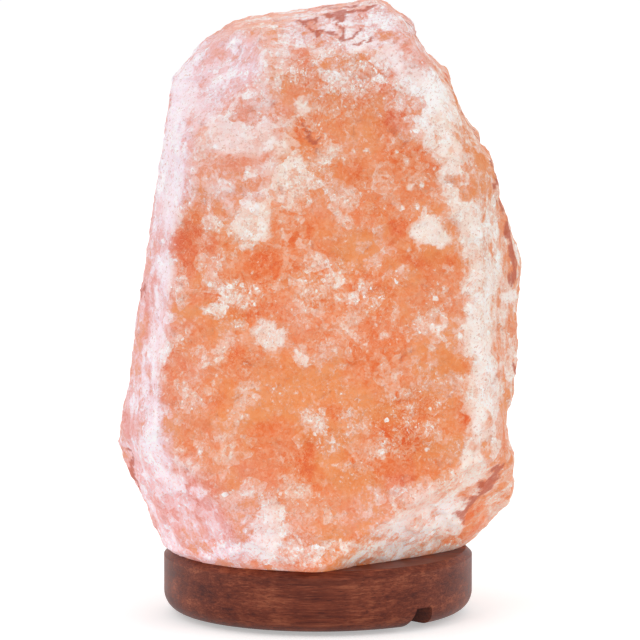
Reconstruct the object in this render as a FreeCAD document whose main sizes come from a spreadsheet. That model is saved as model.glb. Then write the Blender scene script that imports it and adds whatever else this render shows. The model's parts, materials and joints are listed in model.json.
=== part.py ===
"""Salt crystal lamp: a hewn lump of rock salt on a turned wooden base, lit from inside by a small screw bulb.

Millimetres. +Z is up, the front faces -Y, and the origin is on the table under the middle of the base.
The base, its pads, its screws and their plugs are laid out with the cable groove along +X and then turned
together by groove_angle.
"""

import FreeCAD, Part
import math
import os
import random
import re

import Sketcher

# Driving sizes, in millimetres and degrees, by the piece they shape
SIZES = {
    "Salt crystal": {
        "crystal_width": 160,
        "crystal_depth": 128,
        "crystal_height": 221,
        "arris_radius": 4,
        "scoop_radius": 60,
        "scoop_depth": 2.2,
        "cavity_radius": 23,
        "cavity_depth": 95,
    },
    "Wooden base": {
        "base_radius": 62,
        "base_height": 25,
        "bevel_width": 2.5,
        "bevel_height": 2.5,
        "bottom_round": 8,
        "recess_radius": 27,
        "recess_depth": 17,
        "web_bore_radius": 21,
        "groove_angle": -47,
        "groove_width": 13,
        "groove_depth": 8,
        "groove_flare": 18,
    },
    "Feet": {
        "foot_radius": 5.5,
        "foot_height": 1.5,
        "foot_circle": 38,
    },
    "Screws and plugs": {
        "screw_circle": 34,
        "screw_radius": 2,
        "screw_length": 37,
        "screw_point": 4,
        "screw_head_radius": 4,
        "screw_head_height": 2.3,
        "screw_fit": 0.15,
        "driver_radius": 1,
        "driver_depth": 1.2,
        "counterbore_radius": 4.8,
        "counterbore_depth": 10,
        "plug_radius": 4,
        "plug_length": 25,
        "plug_fit": 0.05,
        "plug_hole_spare": 2,
    },
    "Clip plate": {
        "clip_radius": 25,
        "clip_sheet": 0.8,
        "clip_seat": 0.1,
        "tongue_width": 10,
        "tongue_height": 8,
        "tongue_lean": 2,
        "tongue_gap": 0.2,
    },
    "Lamp holder": {
        "barrel_radius": 11,
        "barrel_height": 22,
        "barrel_fit": 0.2,
        "flange_radius": 14,
        "flange_height": 2.2,
        "stub_height": 4,
        "chamber_radius": 9.2,
        "chamber_rise": 4,
        "nut_radius": 14.5,
        "nut_height": 3.5,
        "scallop_radius": 1.2,
        "cap_height": 6.5,
        "cap_floor": 2,
        "cap_edge": 1.5,
        "spigot_wall": 0.9,
        "collar_radius": 5.5,
        "collar_length": 2.5,
        "cord_bore_radius": 3.1,
    },
    "Contacts": {
        "carrier_height": 3.5,
        "shell_radius": 6.15,
        "shell_sheet": 0.4,
        "shell_length": 15,
        "shell_fit": 0.15,
        "shell_lip_radius": 3.9,
        "leaf_width": 3,
        "leaf_reach": 3.3,
        "leaf_rise": 0.9,
        "rivet_radius": 0.6,
        "rivet_head_radius": 1,
        "rivet_head_height": 0.4,
        "leaf_rivet_place": 1.9,
        "shell_rivet_place": 5,
        "terminal_start": 1.2,
        "terminal_end": 6.4,
        "terminal_edge": 1.3,
        "terminal_reach": 5.2,
        "terminal_sheet": 0.8,
        "terminal_screw_radius": 1.25,
        "terminal_fit": 0.05,
        "terminal_head_radius": 1.7,
        "terminal_head_height": 1.5,
        "terminal_screw_length": 3.8,
        "terminal_screw_place": 3.5,
    },
    "Bulb": {
        "bulb_seat": 0.1,
        "tip_radius": 2.3,
        "tip_height": 0.9,
        "tip_round": 0.4,
        "tip_fit": 0.05,
        "insulator_radius": 4.9,
        "insulator_foot_radius": 2.9,
        "insulator_height": 2,
        "lead_bore_radius": 0.6,
        "cap_radius": 5.95,
        "cap_sheet": 0.3,
        "cap_taper": 1,
        "cap_length": 13,
        "cap_flare": 0.45,
        "cap_flare_height": 1.6,
        "cement_height": 7,
        "cement_fit": 0.05,
        "neck_radius": 5.1,
        "neck_depth": 9,
        "glass_radius": 11,
        "glass_wall": 0.6,
        "glass_height": 37,
        "shoulder_height": 10,
        "shoulder_round": 5,
        "stem_radius": 1.6,
        "stem_flare_height": 3,
        "stem_height": 19,
        "lead_radius": 0.35,
        "lead_place": 0.8,
        "lead_height": 12,
        "filament_radius": 5,
        "filament_wire": 0.3,
        "support_radius": 0.2,
    },
}

# The lump's cleaved faces: (azimuth, tilt, (across, back, up)) with angles in degrees, azimuth from +X and
# front at -90, tilt above the horizon. Each passes through a point given in half widths, half depths and
# whole heights of the lump.
LEFT_BULGE = (-1.0, -0.05, 0.206)
RIGHT_BULGE = (1.005, 0.0, 0.468)
LEFT_FACES = (
    (182, -26, (-0.856, -0.1, 0.066)),
    (180, -14, LEFT_BULGE),
    (180, 8.5, LEFT_BULGE),
    (180, 40, (-0.7, 0.0, 0.871)),
    (183, 58, (-0.545, 0.0, 0.925)),
)
RIGHT_FACES = (
    (0, -38, (0.945, 0.0, 0.084)),
    (0, -17, (0.98, 0.0, 0.12)),
    (0, -2, RIGHT_BULGE),
    (0, 4, RIGHT_BULGE),
    (2, 15, (0.99, 0.0, 0.541)),
    (2, 26, (0.86, 0.0, 0.722)),
    (-3, 37, (0.645, 0.0, 0.871)),
)
PEAK = (0.3, 0.0, 1.0)
TOP_FACES = (
    (180, 80, PEAK),
    (0, 56, PEAK),
    (85, 60, (0.06, 0.41, 0.957)),
    (-95, 55, (-0.06, -0.625, 0.93)),
)
FRONT_FACES = (
    (-90, 0, (0.0, -1.0, 0.2)),
    (-112, 3, (-0.44, -0.97, 0.378)),
    (-72, 2, (0.44, -0.97, 0.378)),
    (-88, 9, (0.0, -0.97, 0.468)),
    (205, 6, (-0.70, -0.94, 0.468)),
    (-28, 4, (0.775, -0.906, 0.468)),
    (-35, 22, (0.65, -0.78, 0.785)),
    (-45, -42, (0.41, -0.508, 0.0)),
    (-108, -34, (-0.234, -0.899, 0.0)),
    (203, -24, (-0.708, -0.375, 0.0)),
    (224, -20, (-0.65, -0.5625, 0.0)),
    (225, 38, (-0.575, -0.69, 0.808)),
)
BACK_FACES = (
    (90, 0, (0.0, 1.0, 0.31)),
    (98, 14, (0.0, 0.97, 0.42)),
    (148, 5, (-0.775, 0.75, 0.378)),
    (38, 6, (0.825, 0.72, 0.378)),
    (95, -24, (0.0, 0.89, 0.0)),
    (140, -28, (-0.55, 0.656, 0.0)),
    (45, -26, (0.575, 0.69, 0.0)),
    (135, 42, (-0.475, 0.53, 0.885)),
    (48, 36, (0.55, 0.5625, 0.808)),
)
CLEAVED_FACES = LEFT_FACES + RIGHT_FACES + TOP_FACES + FRONT_FACES + BACK_FACES

# Shallow scoops bitten out of the faces, in rows up the lump: (share of its height, count, first azimuth),
# and how unevenly they are placed and sunk
SCOOP_ROWS = (
    (0.08, 12, 10),
    (0.20, 12, 25),
    (0.32, 12, 10),
    (0.44, 12, 25),
    (0.56, 12, 10),
    (0.68, 11, 25),
    (0.79, 10, 10),
    (0.89, 7, 25),
)
SCOOP_SEED = 5
SCOOP_SWING = 0.3
SCOOP_RISE = 0.03
SCOOP_SHARES = (0.45, 1.0)

# Long level hollows that step the outline in: (azimuth, share of the height, radius, depth)
HOLLOWS = (
    (0, 0.247, 25, 3.6),
    (0, 0.8, 50, 3),
    (0, 0.916, 26, 2.2),
)

# Levels, as expressions of the sizes
BASE_TOP = "(foot_height + base_height)"
CEILING = "(foot_height + recess_depth)"
CLIP_TOP = f"({CEILING} - clip_seat)"
CLIP_UNDER = f"({CLIP_TOP} - clip_sheet)"
FLANGE_UNDER = f"({CLIP_UNDER} - flange_height)"
STUB_UNDER = f"({FLANGE_UNDER} - stub_height)"
BARREL_TOP = f"({CLIP_TOP} + barrel_height)"
CHAMBER_TOP = f"({CLIP_TOP} + chamber_rise)"
CARRIER_UNDER = f"({CHAMBER_TOP} - carrier_height)"
CAP_UNDER = f"({FLANGE_UNDER} - cap_height)"
CAP_FLOOR = f"({CAP_UNDER} + cap_floor)"
SHELL_TOP = f"({CHAMBER_TOP} + shell_length)"
LEAF_TOP = f"({CHAMBER_TOP} + shell_sheet + leaf_rise)"
BULB_FOOT = f"({LEAF_TOP} + bulb_seat)"
TIP_TOP = f"({BULB_FOOT} + tip_height)"
INSULATOR_FOOT = f"({BULB_FOOT} + tip_height / 2)"
INSULATOR_TOP = f"({INSULATOR_FOOT} + insulator_height)"
BULB_CAP_TOP = f"({INSULATOR_TOP} + cap_length)"
GLASS_START = f"({BULB_CAP_TOP} + cap_flare_height)"
NECK_FOOT = f"({BULB_CAP_TOP} - neck_depth)"
GLASS_TOP = f"({GLASS_START} + glass_height)"
STEM_TOP = f"({NECK_FOOT} + stem_height)"
FILAMENT_LEVEL = f"({STEM_TOP} + lead_height)"
HEAD_LEVEL = "(foot_height + counterbore_depth)"
TERMINAL_UNDER = f"({CARRIER_UNDER} - terminal_sheet)"
SHELL_BORE = "(shell_radius + shell_sheet + shell_fit)"
NECK_BORE = "(neck_radius - glass_wall)"

# The screws stand a quarter turn apart, and the cable groove takes the fourth place
SCREW_COUNT = 3
SCREW_STEP = 90
FOOT_COUNT = 4
TONGUE_COUNT = 3
SCALLOP_COUNT = 12
FOOT_TURN = 45
TERMINAL_COUNT = 2
TERMINAL_TURN = 45

# Where a sketch's lines and circles start, before their dimensions draw them into place
ROUGH_PLACE = 50
ROUGH_SIZE = 1
# Two lengths this near to each other are the same
TOLERANCE = 1e-4

doc = FreeCAD.newDocument("SaltCrystalLamp")
sheet = doc.addObject("Spreadsheet::Sheet", "Dimensions")
aliases = set()
nodes = {}


def fill_sheet():
    row = 1
    for group, sizes in SIZES.items():
        sheet.set(f"A{row}", group)
        row += 1
        for alias, number in sizes.items():
            sheet.set(f"A{row}", alias)
            sheet.set(f"B{row}", str(number))
            sheet.setAlias(f"B{row}", alias)
            aliases.add(alias)
            row += 1
    doc.recompute()


def bound(text):
    """An expression over sizes, with each size's name led back to its cell in the sheet."""
    return re.sub(r"[a-z_]+", lambda word: f"Dimensions.{word[0]}" if word[0] in aliases else word[0], text)


def value(text):
    """What an expression over sizes comes to."""
    return float(sheet.evalExpression(bound(text)))


def keep(node, piece):
    """Give a finished sub-part its name."""
    piece.Label = node
    nodes[node] = piece
    return piece


def new_body(node):
    return keep(node, doc.addObject("PartDesign::Body", node))


def origin_plane(body, role):
    return next(plane for plane in body.Origin.OriginFeatures if plane.Role == role)


def place_sketch(body, name, role, shift, lift):
    """An empty sketch on one of the body's own planes, shifted along it and lifted off it by expressions."""
    sketch = body.newObject("Sketcher::SketchObject", name)
    sketch.AttachmentSupport = (origin_plane(body, role), [""])
    sketch.MapMode = "FlatFace"
    sketch.setExpression("AttachmentOffset.Base.x", bound(shift))
    sketch.setExpression("AttachmentOffset.Base.z", bound(lift))
    return sketch


def hold(sketch, kind, text, *where):
    """Add a dimension whose value is bound to an expression over sizes."""
    number = sketch.addConstraint(Sketcher.Constraint(kind, *where, float(ROUGH_SIZE)))
    sketch.renameConstraint(number, f"{kind}{number}")
    sketch.setExpression(f"Constraints.{kind}{number}", bound(text))


def hold_point(sketch, geometry, point, x, y):
    """Hold one point of a sketch at bound distances from the sketch's axes, or on an axis for 0."""
    for kind, axis, text in (("DistanceX", -2, x), ("DistanceY", -1, y)):
        if text == "0":
            sketch.addConstraint(Sketcher.Constraint("PointOnObject", geometry, point, axis))
        else:
            hold(sketch, kind, text, -1, 1, geometry, point)


def outline(body, name, role, corners, shift="0", lift="0"):
    """A closed outline of straight lines through corners that are bound to the sizes."""
    sketch = place_sketch(body, name, role, shift, lift)
    count = len(corners)
    turns = [i * math.tau / count for i in range(count)]
    start = [FreeCAD.Vector(ROUGH_PLACE + math.cos(turn), ROUGH_PLACE + math.sin(turn), 0) for turn in turns]
    for i in range(count):
        sketch.addGeometry(Part.LineSegment(start[i], start[(i + 1) % count]), False)
    for i in range(count):
        sketch.addConstraint(Sketcher.Constraint("Coincident", i, 2, (i + 1) % count, 1))
    for i, (x, y) in enumerate(corners):
        hold_point(sketch, i, 1, x, y)
    return sketch


def circle(body, name, radius, x, y="0", lift="0"):
    """A circle on a level plane."""
    sketch = place_sketch(body, name, "XY_Plane", "0", lift)
    centre = FreeCAD.Vector(ROUGH_PLACE, ROUGH_PLACE, 0)
    sketch.addGeometry(Part.Circle(centre, FreeCAD.Vector(0, 0, 1), ROUGH_SIZE), False)
    hold(sketch, "Radius", radius, 0)
    hold_point(sketch, 0, 3, x, y)
    return sketch


def revolve(body, name, corners, kind="Revolution", role="XZ_Plane", shift="0"):
    """Turn an outline of (radius, height) corners about its upright axis, as a solid or as a groove."""
    sketch = outline(body, f"{name}_outline", role, corners, shift)
    feature = body.newObject(f"PartDesign::{kind}", name)
    feature.Profile = sketch
    feature.ReferenceAxis = (sketch, ["V_Axis"])
    feature.Angle = 360
    doc.recompute()
    return feature


def extrude(body, name, sketch, length, kind="Pad", midplane=False):
    """Raise a sketch into a solid, or sink it upwards as a pocket, by a bound length."""
    feature = body.newObject(f"PartDesign::{kind}", name)
    feature.Profile = sketch
    feature.setExpression("Length", bound(length))
    feature.Midplane = midplane
    feature.Reversed = kind == "Pocket"
    doc.recompute()
    return feature


def repeat(body, name, features, count, angle=360):
    """Repeat features round the body's upright axis."""
    pattern = body.newObject("PartDesign::PolarPattern", name)
    pattern.Originals = features
    pattern.Axis = (origin_plane(body, "Z_Axis"), [""])
    pattern.Angle = angle
    pattern.Occurrences = count
    body.Tip = pattern
    doc.recompute()


def repeat_by_screws(body, name, feature):
    """Repeat a feature that stands at the first screw at the other screws too."""
    repeat(body, name, [feature], SCREW_COUNT, SCREW_STEP * (SCREW_COUNT - 1))


def ring_edges(shape, radius, level):
    """The names of the circular edges that have a given radius and lie at a given level."""
    found = []
    for number, edge in enumerate(shape.Edges, 1):
        curve = edge.Curve
        if curve.TypeId != "Part::GeomCircle" or abs(curve.Radius - value(radius)) > TOLERANCE:
            continue
        if abs(curve.Center.z - value(level)) < TOLERANCE:
            found.append(f"Edge{number}")
    return found


def round_ring(body, name, radius, level, fillet_radius):
    """Fillet the ring edge of a given radius and level."""
    base = body.Tip
    fillet = body.newObject("PartDesign::Fillet", name)
    fillet.Base = (base, ring_edges(base.Shape, radius, level))
    fillet.setExpression("Radius", bound(fillet_radius))
    doc.recompute()


def turned(node, corners):
    """A piece of one outline turned about the lamp's axis."""
    body = new_body(node)
    revolve(body, f"{node}_turned", corners)
    return body


def tube(node, inner, outer, low, high):
    """A plain ring or sleeve on the lamp's axis."""
    return turned(node, ((inner, low), (outer, low), (outer, high), (inner, high)))


def turn_with_groove(body, further=0):
    """Turn a piece that is laid out with the cable groove along +X."""
    body.setExpression("Placement.Rotation.Angle", bound(f"groove_angle + {further}"))


def rod(name, radius, length, x="0", y="0", level="0"):
    cylinder = doc.addObject("Part::Cylinder", name)
    cylinder.setExpression("Radius", bound(radius))
    cylinder.setExpression("Height", bound(length))
    cylinder.setExpression("Placement.Base.x", bound(x))
    cylinder.setExpression("Placement.Base.y", bound(y))
    cylinder.setExpression("Placement.Base.z", bound(level))
    return cylinder


def half_space(normal, point, reach):
    """A block whose flat face passes through a point and faces back against the normal."""
    turn = FreeCAD.Rotation(FreeCAD.Vector(0, 0, 1), normal)
    middle = turn.multVec(FreeCAD.Vector(reach / 2, reach / 2, 0))
    block = Part.makeBox(reach, reach, reach)
    block.Placement = FreeCAD.Placement(point - middle, turn)
    return block


def facing(azimuth, tilt):
    """The outward direction of a cleaved face."""
    azimuth, tilt = math.radians(azimuth), math.radians(tilt)
    level = math.cos(tilt)
    return FreeCAD.Vector(level * math.cos(azimuth), level * math.sin(azimuth), math.sin(tilt))


def lump_point(x, y, z):
    """A point given in half widths, half depths and whole heights of the lump."""
    across = value("crystal_width / 2")
    back = value("crystal_depth / 2")
    return FreeCAD.Vector(x * across, y * back, value(BASE_TOP) + z * value("crystal_height"))


def cleaved_faces():
    """The outward direction of each cleaved face and a point on it."""
    return [(facing(azimuth, tilt), lump_point(*place)) for azimuth, tilt, place in CLEAVED_FACES]


def hewn_lump():
    """The lump before drilling: cleaved faces with their arrises rounded off, sawn flat below.

    The faces are cut one arris radius inside their places, and the whole is then grown by that radius.
    """
    arris = value("arris_radius")
    spare = FreeCAD.Vector(0, 0, 5 * arris)
    low = lump_point(-2, -2, 0) - spare
    size = lump_point(2, 2, 2) - low
    reach = 2 * max(size)
    lump = Part.makeBox(*size, low)
    for normal, point in cleaved_faces():
        lump = lump.cut(half_space(normal, point - normal * arris, reach))
    lump = lump.makeOffsetShape(arris, TOLERANCE, False, False, 0, 0)
    sawn_off = half_space(FreeCAD.Vector(0, 0, -1), lump_point(0, 0, 0), reach)
    return lump.cut(sawn_off).Solids[0]


def face_ahead(azimuth, height):
    """The outward direction of the face that a level line from the lump's axis meets first, and the point."""
    start = lump_point(0, 0, height)
    way = facing(azimuth, 0)
    hits = []
    for normal, point in cleaved_faces():
        if normal.dot(way) > TOLERANCE:
            hits.append((normal.dot(point - start) / normal.dot(way), normal))
    distance, normal = min(hits, key=lambda hit: hit[0])
    return normal, start + way * distance


def scooped(lump):
    """Bite shallow scoops out of the lump's faces. Each scooping ball turns its seam away from the lump."""
    radius = value("scoop_radius")
    uneven = random.Random(SCOOP_SEED)
    for height, count, first in SCOOP_ROWS:
        for step in range(count):
            azimuth = first + (step + uneven.uniform(-SCOOP_SWING, SCOOP_SWING)) * 360 / count
            normal, point = face_ahead(azimuth, height + uneven.uniform(-SCOOP_RISE, SCOOP_RISE))
            depth = value("scoop_depth") * uneven.uniform(*SCOOP_SHARES)
            ball = Part.makeSphere(radius)
            turn = FreeCAD.Rotation(FreeCAD.Vector(1, 0, 0), normal)
            ball.Placement = FreeCAD.Placement(point + normal * (radius - depth), turn)
            lump = lump.cut(ball)
    return lump.Solids[0]


def hollowed(lump):
    """Cut the long hollows right across the lump, each along a level line on the face that it bites into."""
    reach = value("crystal_width")
    for azimuth, height, radius, depth in HOLLOWS:
        normal, point = face_ahead(azimuth, height)
        across = facing(azimuth + 90, 0)
        start = point + normal * (radius - depth) - across * reach
        lump = lump.cut(Part.makeCylinder(radius, 2 * reach, start, across))
    return lump.Solids[0]


def make_salt_crystal():
    lump = doc.addObject("Part::Feature", "crystal_lump")
    lump.Shape = hollowed(scooped(hewn_lump()))
    bores = [rod("cavity_bore", "cavity_radius", "cavity_depth", level=BASE_TOP)]
    for step in range(SCREW_COUNT):
        turn = f"(groove_angle + {SCREW_STEP * step})"
        bores.append(rod(f"plug_hole_{step + 1}", "plug_radius + plug_fit", "plug_length + plug_hole_spare",
                         f"-screw_circle * sin({turn})", f"screw_circle * cos({turn})", BASE_TOP))
    tools = doc.addObject("Part::MultiFuse", "crystal_bores")
    tools.Shapes = bores
    drilled = doc.addObject("Part::Cut", "salt_crystal")
    drilled.Base = lump
    drilled.Tool = tools
    keep("salt_crystal", drilled)


def make_wooden_base():
    """A turned disc with an underside recess, a bore into the crystal's cavity and a flared cable groove."""
    body = new_body("wooden_base")
    revolve(body, "base_turned", (
        ("web_bore_radius", BASE_TOP),
        ("web_bore_radius", CEILING),
        ("recess_radius", CEILING),
        ("recess_radius", "foot_height"),
        ("base_radius", "foot_height"),
        ("base_radius", f"{BASE_TOP} - bevel_height"),
        ("base_radius - bevel_width", BASE_TOP),
    ))
    round_ring(body, "base_bottom_round", "base_radius", "foot_height", "bottom_round")
    groove = outline(body, "cable_groove_outline", "XY_Plane", (
        ("web_bore_radius", "-groove_width / 2"),
        ("base_radius * 2", "-groove_width / 2"),
        ("base_radius * 2", "groove_width / 2"),
        ("web_bore_radius", "groove_width / 2"),
    ), lift="foot_height")
    pocket = extrude(body, "cable_groove", groove, "groove_depth", "Pocket")
    pocket.setExpression("TaperAngle", bound("-groove_flare"))
    hole = revolve(body, "screw_hole", (
        ("0", "0"),
        ("counterbore_radius", "0"),
        ("counterbore_radius", HEAD_LEVEL),
        ("screw_head_radius + screw_fit", HEAD_LEVEL),
        ("screw_radius + screw_fit", f"{HEAD_LEVEL} + screw_head_height"),
        ("screw_radius + screw_fit", f"{BASE_TOP} + foot_height"),
        ("0", f"{BASE_TOP} + foot_height"),
    ), "Groove", "YZ_Plane", "screw_circle")
    repeat_by_screws(body, "screw_holes", hole)
    turn_with_groove(body)


def make_foot_pads():
    body = new_body("foot_pads")
    pad = extrude(body, "foot", circle(body, "foot_outline", "foot_radius", "foot_circle"), "foot_height")
    repeat(body, "feet", [pad], FOOT_COUNT)
    turn_with_groove(body, FOOT_TURN)


def make_base_screws():
    """Countersunk wood screws with a round driver socket and a cone point."""
    body = new_body("base_screws")
    screw = revolve(body, "screw", (
        ("0", f"{HEAD_LEVEL} + driver_depth"),
        ("driver_radius", f"{HEAD_LEVEL} + driver_depth"),
        ("driver_radius", HEAD_LEVEL),
        ("screw_head_radius", HEAD_LEVEL),
        ("screw_radius", f"{HEAD_LEVEL} + screw_head_height"),
        ("screw_radius", f"{HEAD_LEVEL} + screw_length - screw_point"),
        ("0", f"{HEAD_LEVEL} + screw_length"),
    ), role="YZ_Plane", shift="screw_circle")
    repeat_by_screws(body, "screws", screw)
    turn_with_groove(body)


def make_screw_plugs():
    body = new_body("screw_plugs")
    plug = revolve(body, "plug", (
        ("screw_radius + screw_fit", BASE_TOP),
        ("plug_radius", BASE_TOP),
        ("plug_radius", f"{BASE_TOP} + plug_length"),
        ("screw_radius + screw_fit", f"{BASE_TOP} + plug_length"),
    ), role="YZ_Plane", shift="screw_circle")
    repeat_by_screws(body, "plugs", plug)
    turn_with_groove(body)


def make_clip_plate():
    """A stamped disc with spring tongues that are bent up out of its own windows."""
    reach = "(web_bore_radius - tongue_gap)"
    outer = f"sqrt({reach} * {reach} - tongue_width * tongue_width / 4)"
    inner = f"({outer} - clip_sheet)"
    knee = f"{CLIP_TOP} + tongue_height / 2"
    top = f"{CLIP_TOP} + tongue_height"
    body = new_body("clip_plate")
    revolve(body, "clip_disc", (
        ("barrel_radius + barrel_fit", CLIP_UNDER),
        ("clip_radius", CLIP_UNDER),
        ("clip_radius", CLIP_TOP),
        ("barrel_radius + barrel_fit", CLIP_TOP),
    ))
    window_outline = outline(body, "window_outline", "XY_Plane", (
        ("nut_radius", "-tongue_width / 2"),
        (inner, "-tongue_width / 2"),
        (inner, "tongue_width / 2"),
        ("nut_radius", "tongue_width / 2"),
    ), lift=CLIP_UNDER)
    window = extrude(body, "window", window_outline, "clip_sheet", "Pocket")
    tongue_outline = outline(body, "tongue_outline", "XZ_Plane", (
        (outer, CLIP_UNDER),
        (outer, knee),
        (f"{outer} - tongue_lean", top),
        (f"{inner} - tongue_lean", top),
        (inner, knee),
        (inner, CLIP_UNDER),
    ))
    tongue = extrude(body, "tongue", tongue_outline, "tongue_width", midplane=True)
    repeat(body, "tongues", [window, tongue], TONGUE_COUNT)


def make_ring_nut():
    """A ring with thumb scallops round its edge."""
    nut_top = f"{CLIP_TOP} + nut_height"
    body = tube("ring_nut", "barrel_radius + barrel_fit", "nut_radius", CLIP_TOP, nut_top)
    place = "nut_radius + scallop_radius / 2"
    scallop_outline = circle(body, "scallop_outline", "scallop_radius", place, lift=CLIP_TOP)
    scallop = extrude(body, "scallop", scallop_outline, "nut_height", "Pocket")
    repeat(body, "scallops", [scallop], SCALLOP_COUNT)


def make_holder_body():
    """The barrel, with a flange under the clip plate and a wide chamber below for the contact carrier."""
    turned("holder_body", (
        ("chamber_radius", STUB_UNDER),
        ("barrel_radius", STUB_UNDER),
        ("barrel_radius", FLANGE_UNDER),
        ("flange_radius", FLANGE_UNDER),
        ("flange_radius", CLIP_UNDER),
        ("barrel_radius", CLIP_UNDER),
        ("barrel_radius", BARREL_TOP),
        (SHELL_BORE, BARREL_TOP),
        (SHELL_BORE, CHAMBER_TOP),
        ("chamber_radius", CHAMBER_TOP),
    ))


def make_holder_cap():
    """A cup with a cord collar below, and a spigot inside that holds the contact carrier up."""
    spigot = "(chamber_radius - barrel_fit)"
    body = turned("holder_cap", (
        ("cord_bore_radius", f"{CAP_UNDER} - collar_length"),
        ("collar_radius", f"{CAP_UNDER} - collar_length"),
        ("collar_radius", CAP_UNDER),
        ("flange_radius", CAP_UNDER),
        ("flange_radius", FLANGE_UNDER),
        ("barrel_radius + barrel_fit", FLANGE_UNDER),
        ("barrel_radius + barrel_fit", CAP_FLOOR),
        (spigot, CAP_FLOOR),
        (spigot, CARRIER_UNDER),
        (f"{spigot} - spigot_wall", CARRIER_UNDER),
        (f"{spigot} - spigot_wall", CAP_FLOOR),
        ("cord_bore_radius", CAP_FLOOR),
    ))
    round_ring(body, "cap_edge_round", "flange_radius", CAP_UNDER, "cap_edge")


def make_contact_carrier():
    """The insulating disc, with through holes for the rivets and blind holes for the terminal screws."""
    body = tube("contact_carrier", "0", "chamber_radius - barrel_fit / 2", CARRIER_UNDER, CHAMBER_TOP)
    thread = "terminal_screw_length - terminal_sheet"
    place = "terminal_screw_place"
    thread_bore = "terminal_screw_radius + terminal_fit"
    holes = (
        ("leaf_rivet_hole", "rivet_radius", "-leaf_rivet_place", "0", "carrier_height"),
        ("shell_rivet_hole", "rivet_radius", "shell_rivet_place", "0", "carrier_height"),
        ("live_screw_hole", thread_bore, f"-{place}", f"-{place}", thread),
        ("neutral_screw_hole", thread_bore, place, place, thread),
    )
    for name, radius, x, y, depth in holes:
        extrude(body, name, circle(body, f"{name}_outline", radius, x, y, CARRIER_UNDER), depth, "Pocket")


def make_screw_shell():
    """A sleeve with an inturned lip, which one rivet holds on the carrier."""
    body = turned("screw_shell", (
        ("shell_lip_radius", CHAMBER_TOP),
        ("shell_radius + shell_sheet", CHAMBER_TOP),
        ("shell_radius + shell_sheet", SHELL_TOP),
        ("shell_radius", SHELL_TOP),
        ("shell_radius", f"{CHAMBER_TOP} + shell_sheet"),
        ("shell_lip_radius", f"{CHAMBER_TOP} + shell_sheet"),
    ))
    hole = circle(body, "lip_hole_outline", "rivet_radius", "shell_rivet_place", lift=CHAMBER_TOP)
    extrude(body, "lip_hole", hole, "shell_sheet", "Pocket")


def make_centre_contact():
    """A strip folded back over itself, whose free end the bulb presses down."""
    body = new_body("centre_contact")
    strip = outline(body, "leaf_outline", "XZ_Plane", (
        ("-leaf_reach", CHAMBER_TOP),
        ("leaf_reach", CHAMBER_TOP),
        ("leaf_reach", f"{CHAMBER_TOP} + shell_sheet * 2"),
        ("0", LEAF_TOP),
        ("0", f"{LEAF_TOP} - shell_sheet"),
        ("leaf_reach - shell_sheet", f"{CHAMBER_TOP} + shell_sheet"),
        ("-leaf_reach", f"{CHAMBER_TOP} + shell_sheet"),
    ))
    extrude(body, "leaf", strip, "leaf_width", midplane=True)
    hole = circle(body, "leaf_hole_outline", "rivet_radius", "-leaf_rivet_place", lift=CHAMBER_TOP)
    extrude(body, "leaf_hole", hole, "shell_sheet", "Pocket")


def make_contact_rivets():
    body = new_body("contact_rivets")
    top = f"{CHAMBER_TOP} + shell_sheet"
    corners = (
        ("0", f"{TERMINAL_UNDER} - rivet_head_height"),
        ("rivet_head_radius", f"{TERMINAL_UNDER} - rivet_head_height"),
        ("rivet_head_radius", TERMINAL_UNDER),
        ("rivet_radius", TERMINAL_UNDER),
        ("rivet_radius", top),
        ("rivet_head_radius", top),
        ("rivet_head_radius", f"{top} + rivet_head_height"),
        ("0", f"{top} + rivet_head_height"),
    )
    revolve(body, "leaf_rivet", corners, shift="-leaf_rivet_place")
    revolve(body, "shell_rivet", corners, shift="shell_rivet_place")


def make_terminal_plates():
    """Two plates under the carrier, each with a hole for a rivet and one for a screw."""
    plates = []
    for side, sign, rivet_place in (("neutral", "", "shell_rivet_place"), ("live", "-", "-leaf_rivet_place")):
        body = doc.addObject("PartDesign::Body", f"{side}_terminal")
        plate = outline(body, f"{side}_plate_outline", "XY_Plane", (
            (f"{sign}terminal_start", f"{sign}(-terminal_edge)"),
            (f"{sign}terminal_end", f"{sign}(-terminal_edge)"),
            (f"{sign}terminal_reach", f"{sign}terminal_reach"),
            (f"{sign}terminal_start", f"{sign}terminal_reach"),
        ), lift=TERMINAL_UNDER)
        extrude(body, f"{side}_plate", plate, "terminal_sheet")
        holes = (
            ("rivet", "rivet_radius", rivet_place, "0"),
            ("screw", "terminal_screw_radius + terminal_fit", f"{sign}terminal_screw_place",
             f"{sign}terminal_screw_place"),
        )
        for name, radius, x, y in holes:
            ring = circle(body, f"{side}_{name}_outline", radius, x, y, TERMINAL_UNDER)
            extrude(body, f"{side}_{name}_hole", ring, "terminal_sheet", "Pocket")
        plates.append(body)
    pair = doc.addObject("Part::Compound", "terminal_plates")
    pair.Links = plates
    keep("terminal_plates", pair)


def make_terminal_screws():
    body = new_body("terminal_screws")
    screw = revolve(body, "terminal_screw", (
        ("0", f"{TERMINAL_UNDER} - terminal_head_height"),
        ("terminal_head_radius", f"{TERMINAL_UNDER} - terminal_head_height"),
        ("terminal_head_radius", TERMINAL_UNDER),
        ("terminal_screw_radius", TERMINAL_UNDER),
        ("terminal_screw_radius", f"{TERMINAL_UNDER} + terminal_screw_length"),
        ("0", f"{TERMINAL_UNDER} + terminal_screw_length"),
    ), shift="terminal_screw_place * sqrt(2)")
    repeat(body, "terminal_screw_pair", [screw], TERMINAL_COUNT)
    body.Placement.Rotation = FreeCAD.Rotation(FreeCAD.Vector(0, 0, 1), TERMINAL_TURN)


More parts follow.
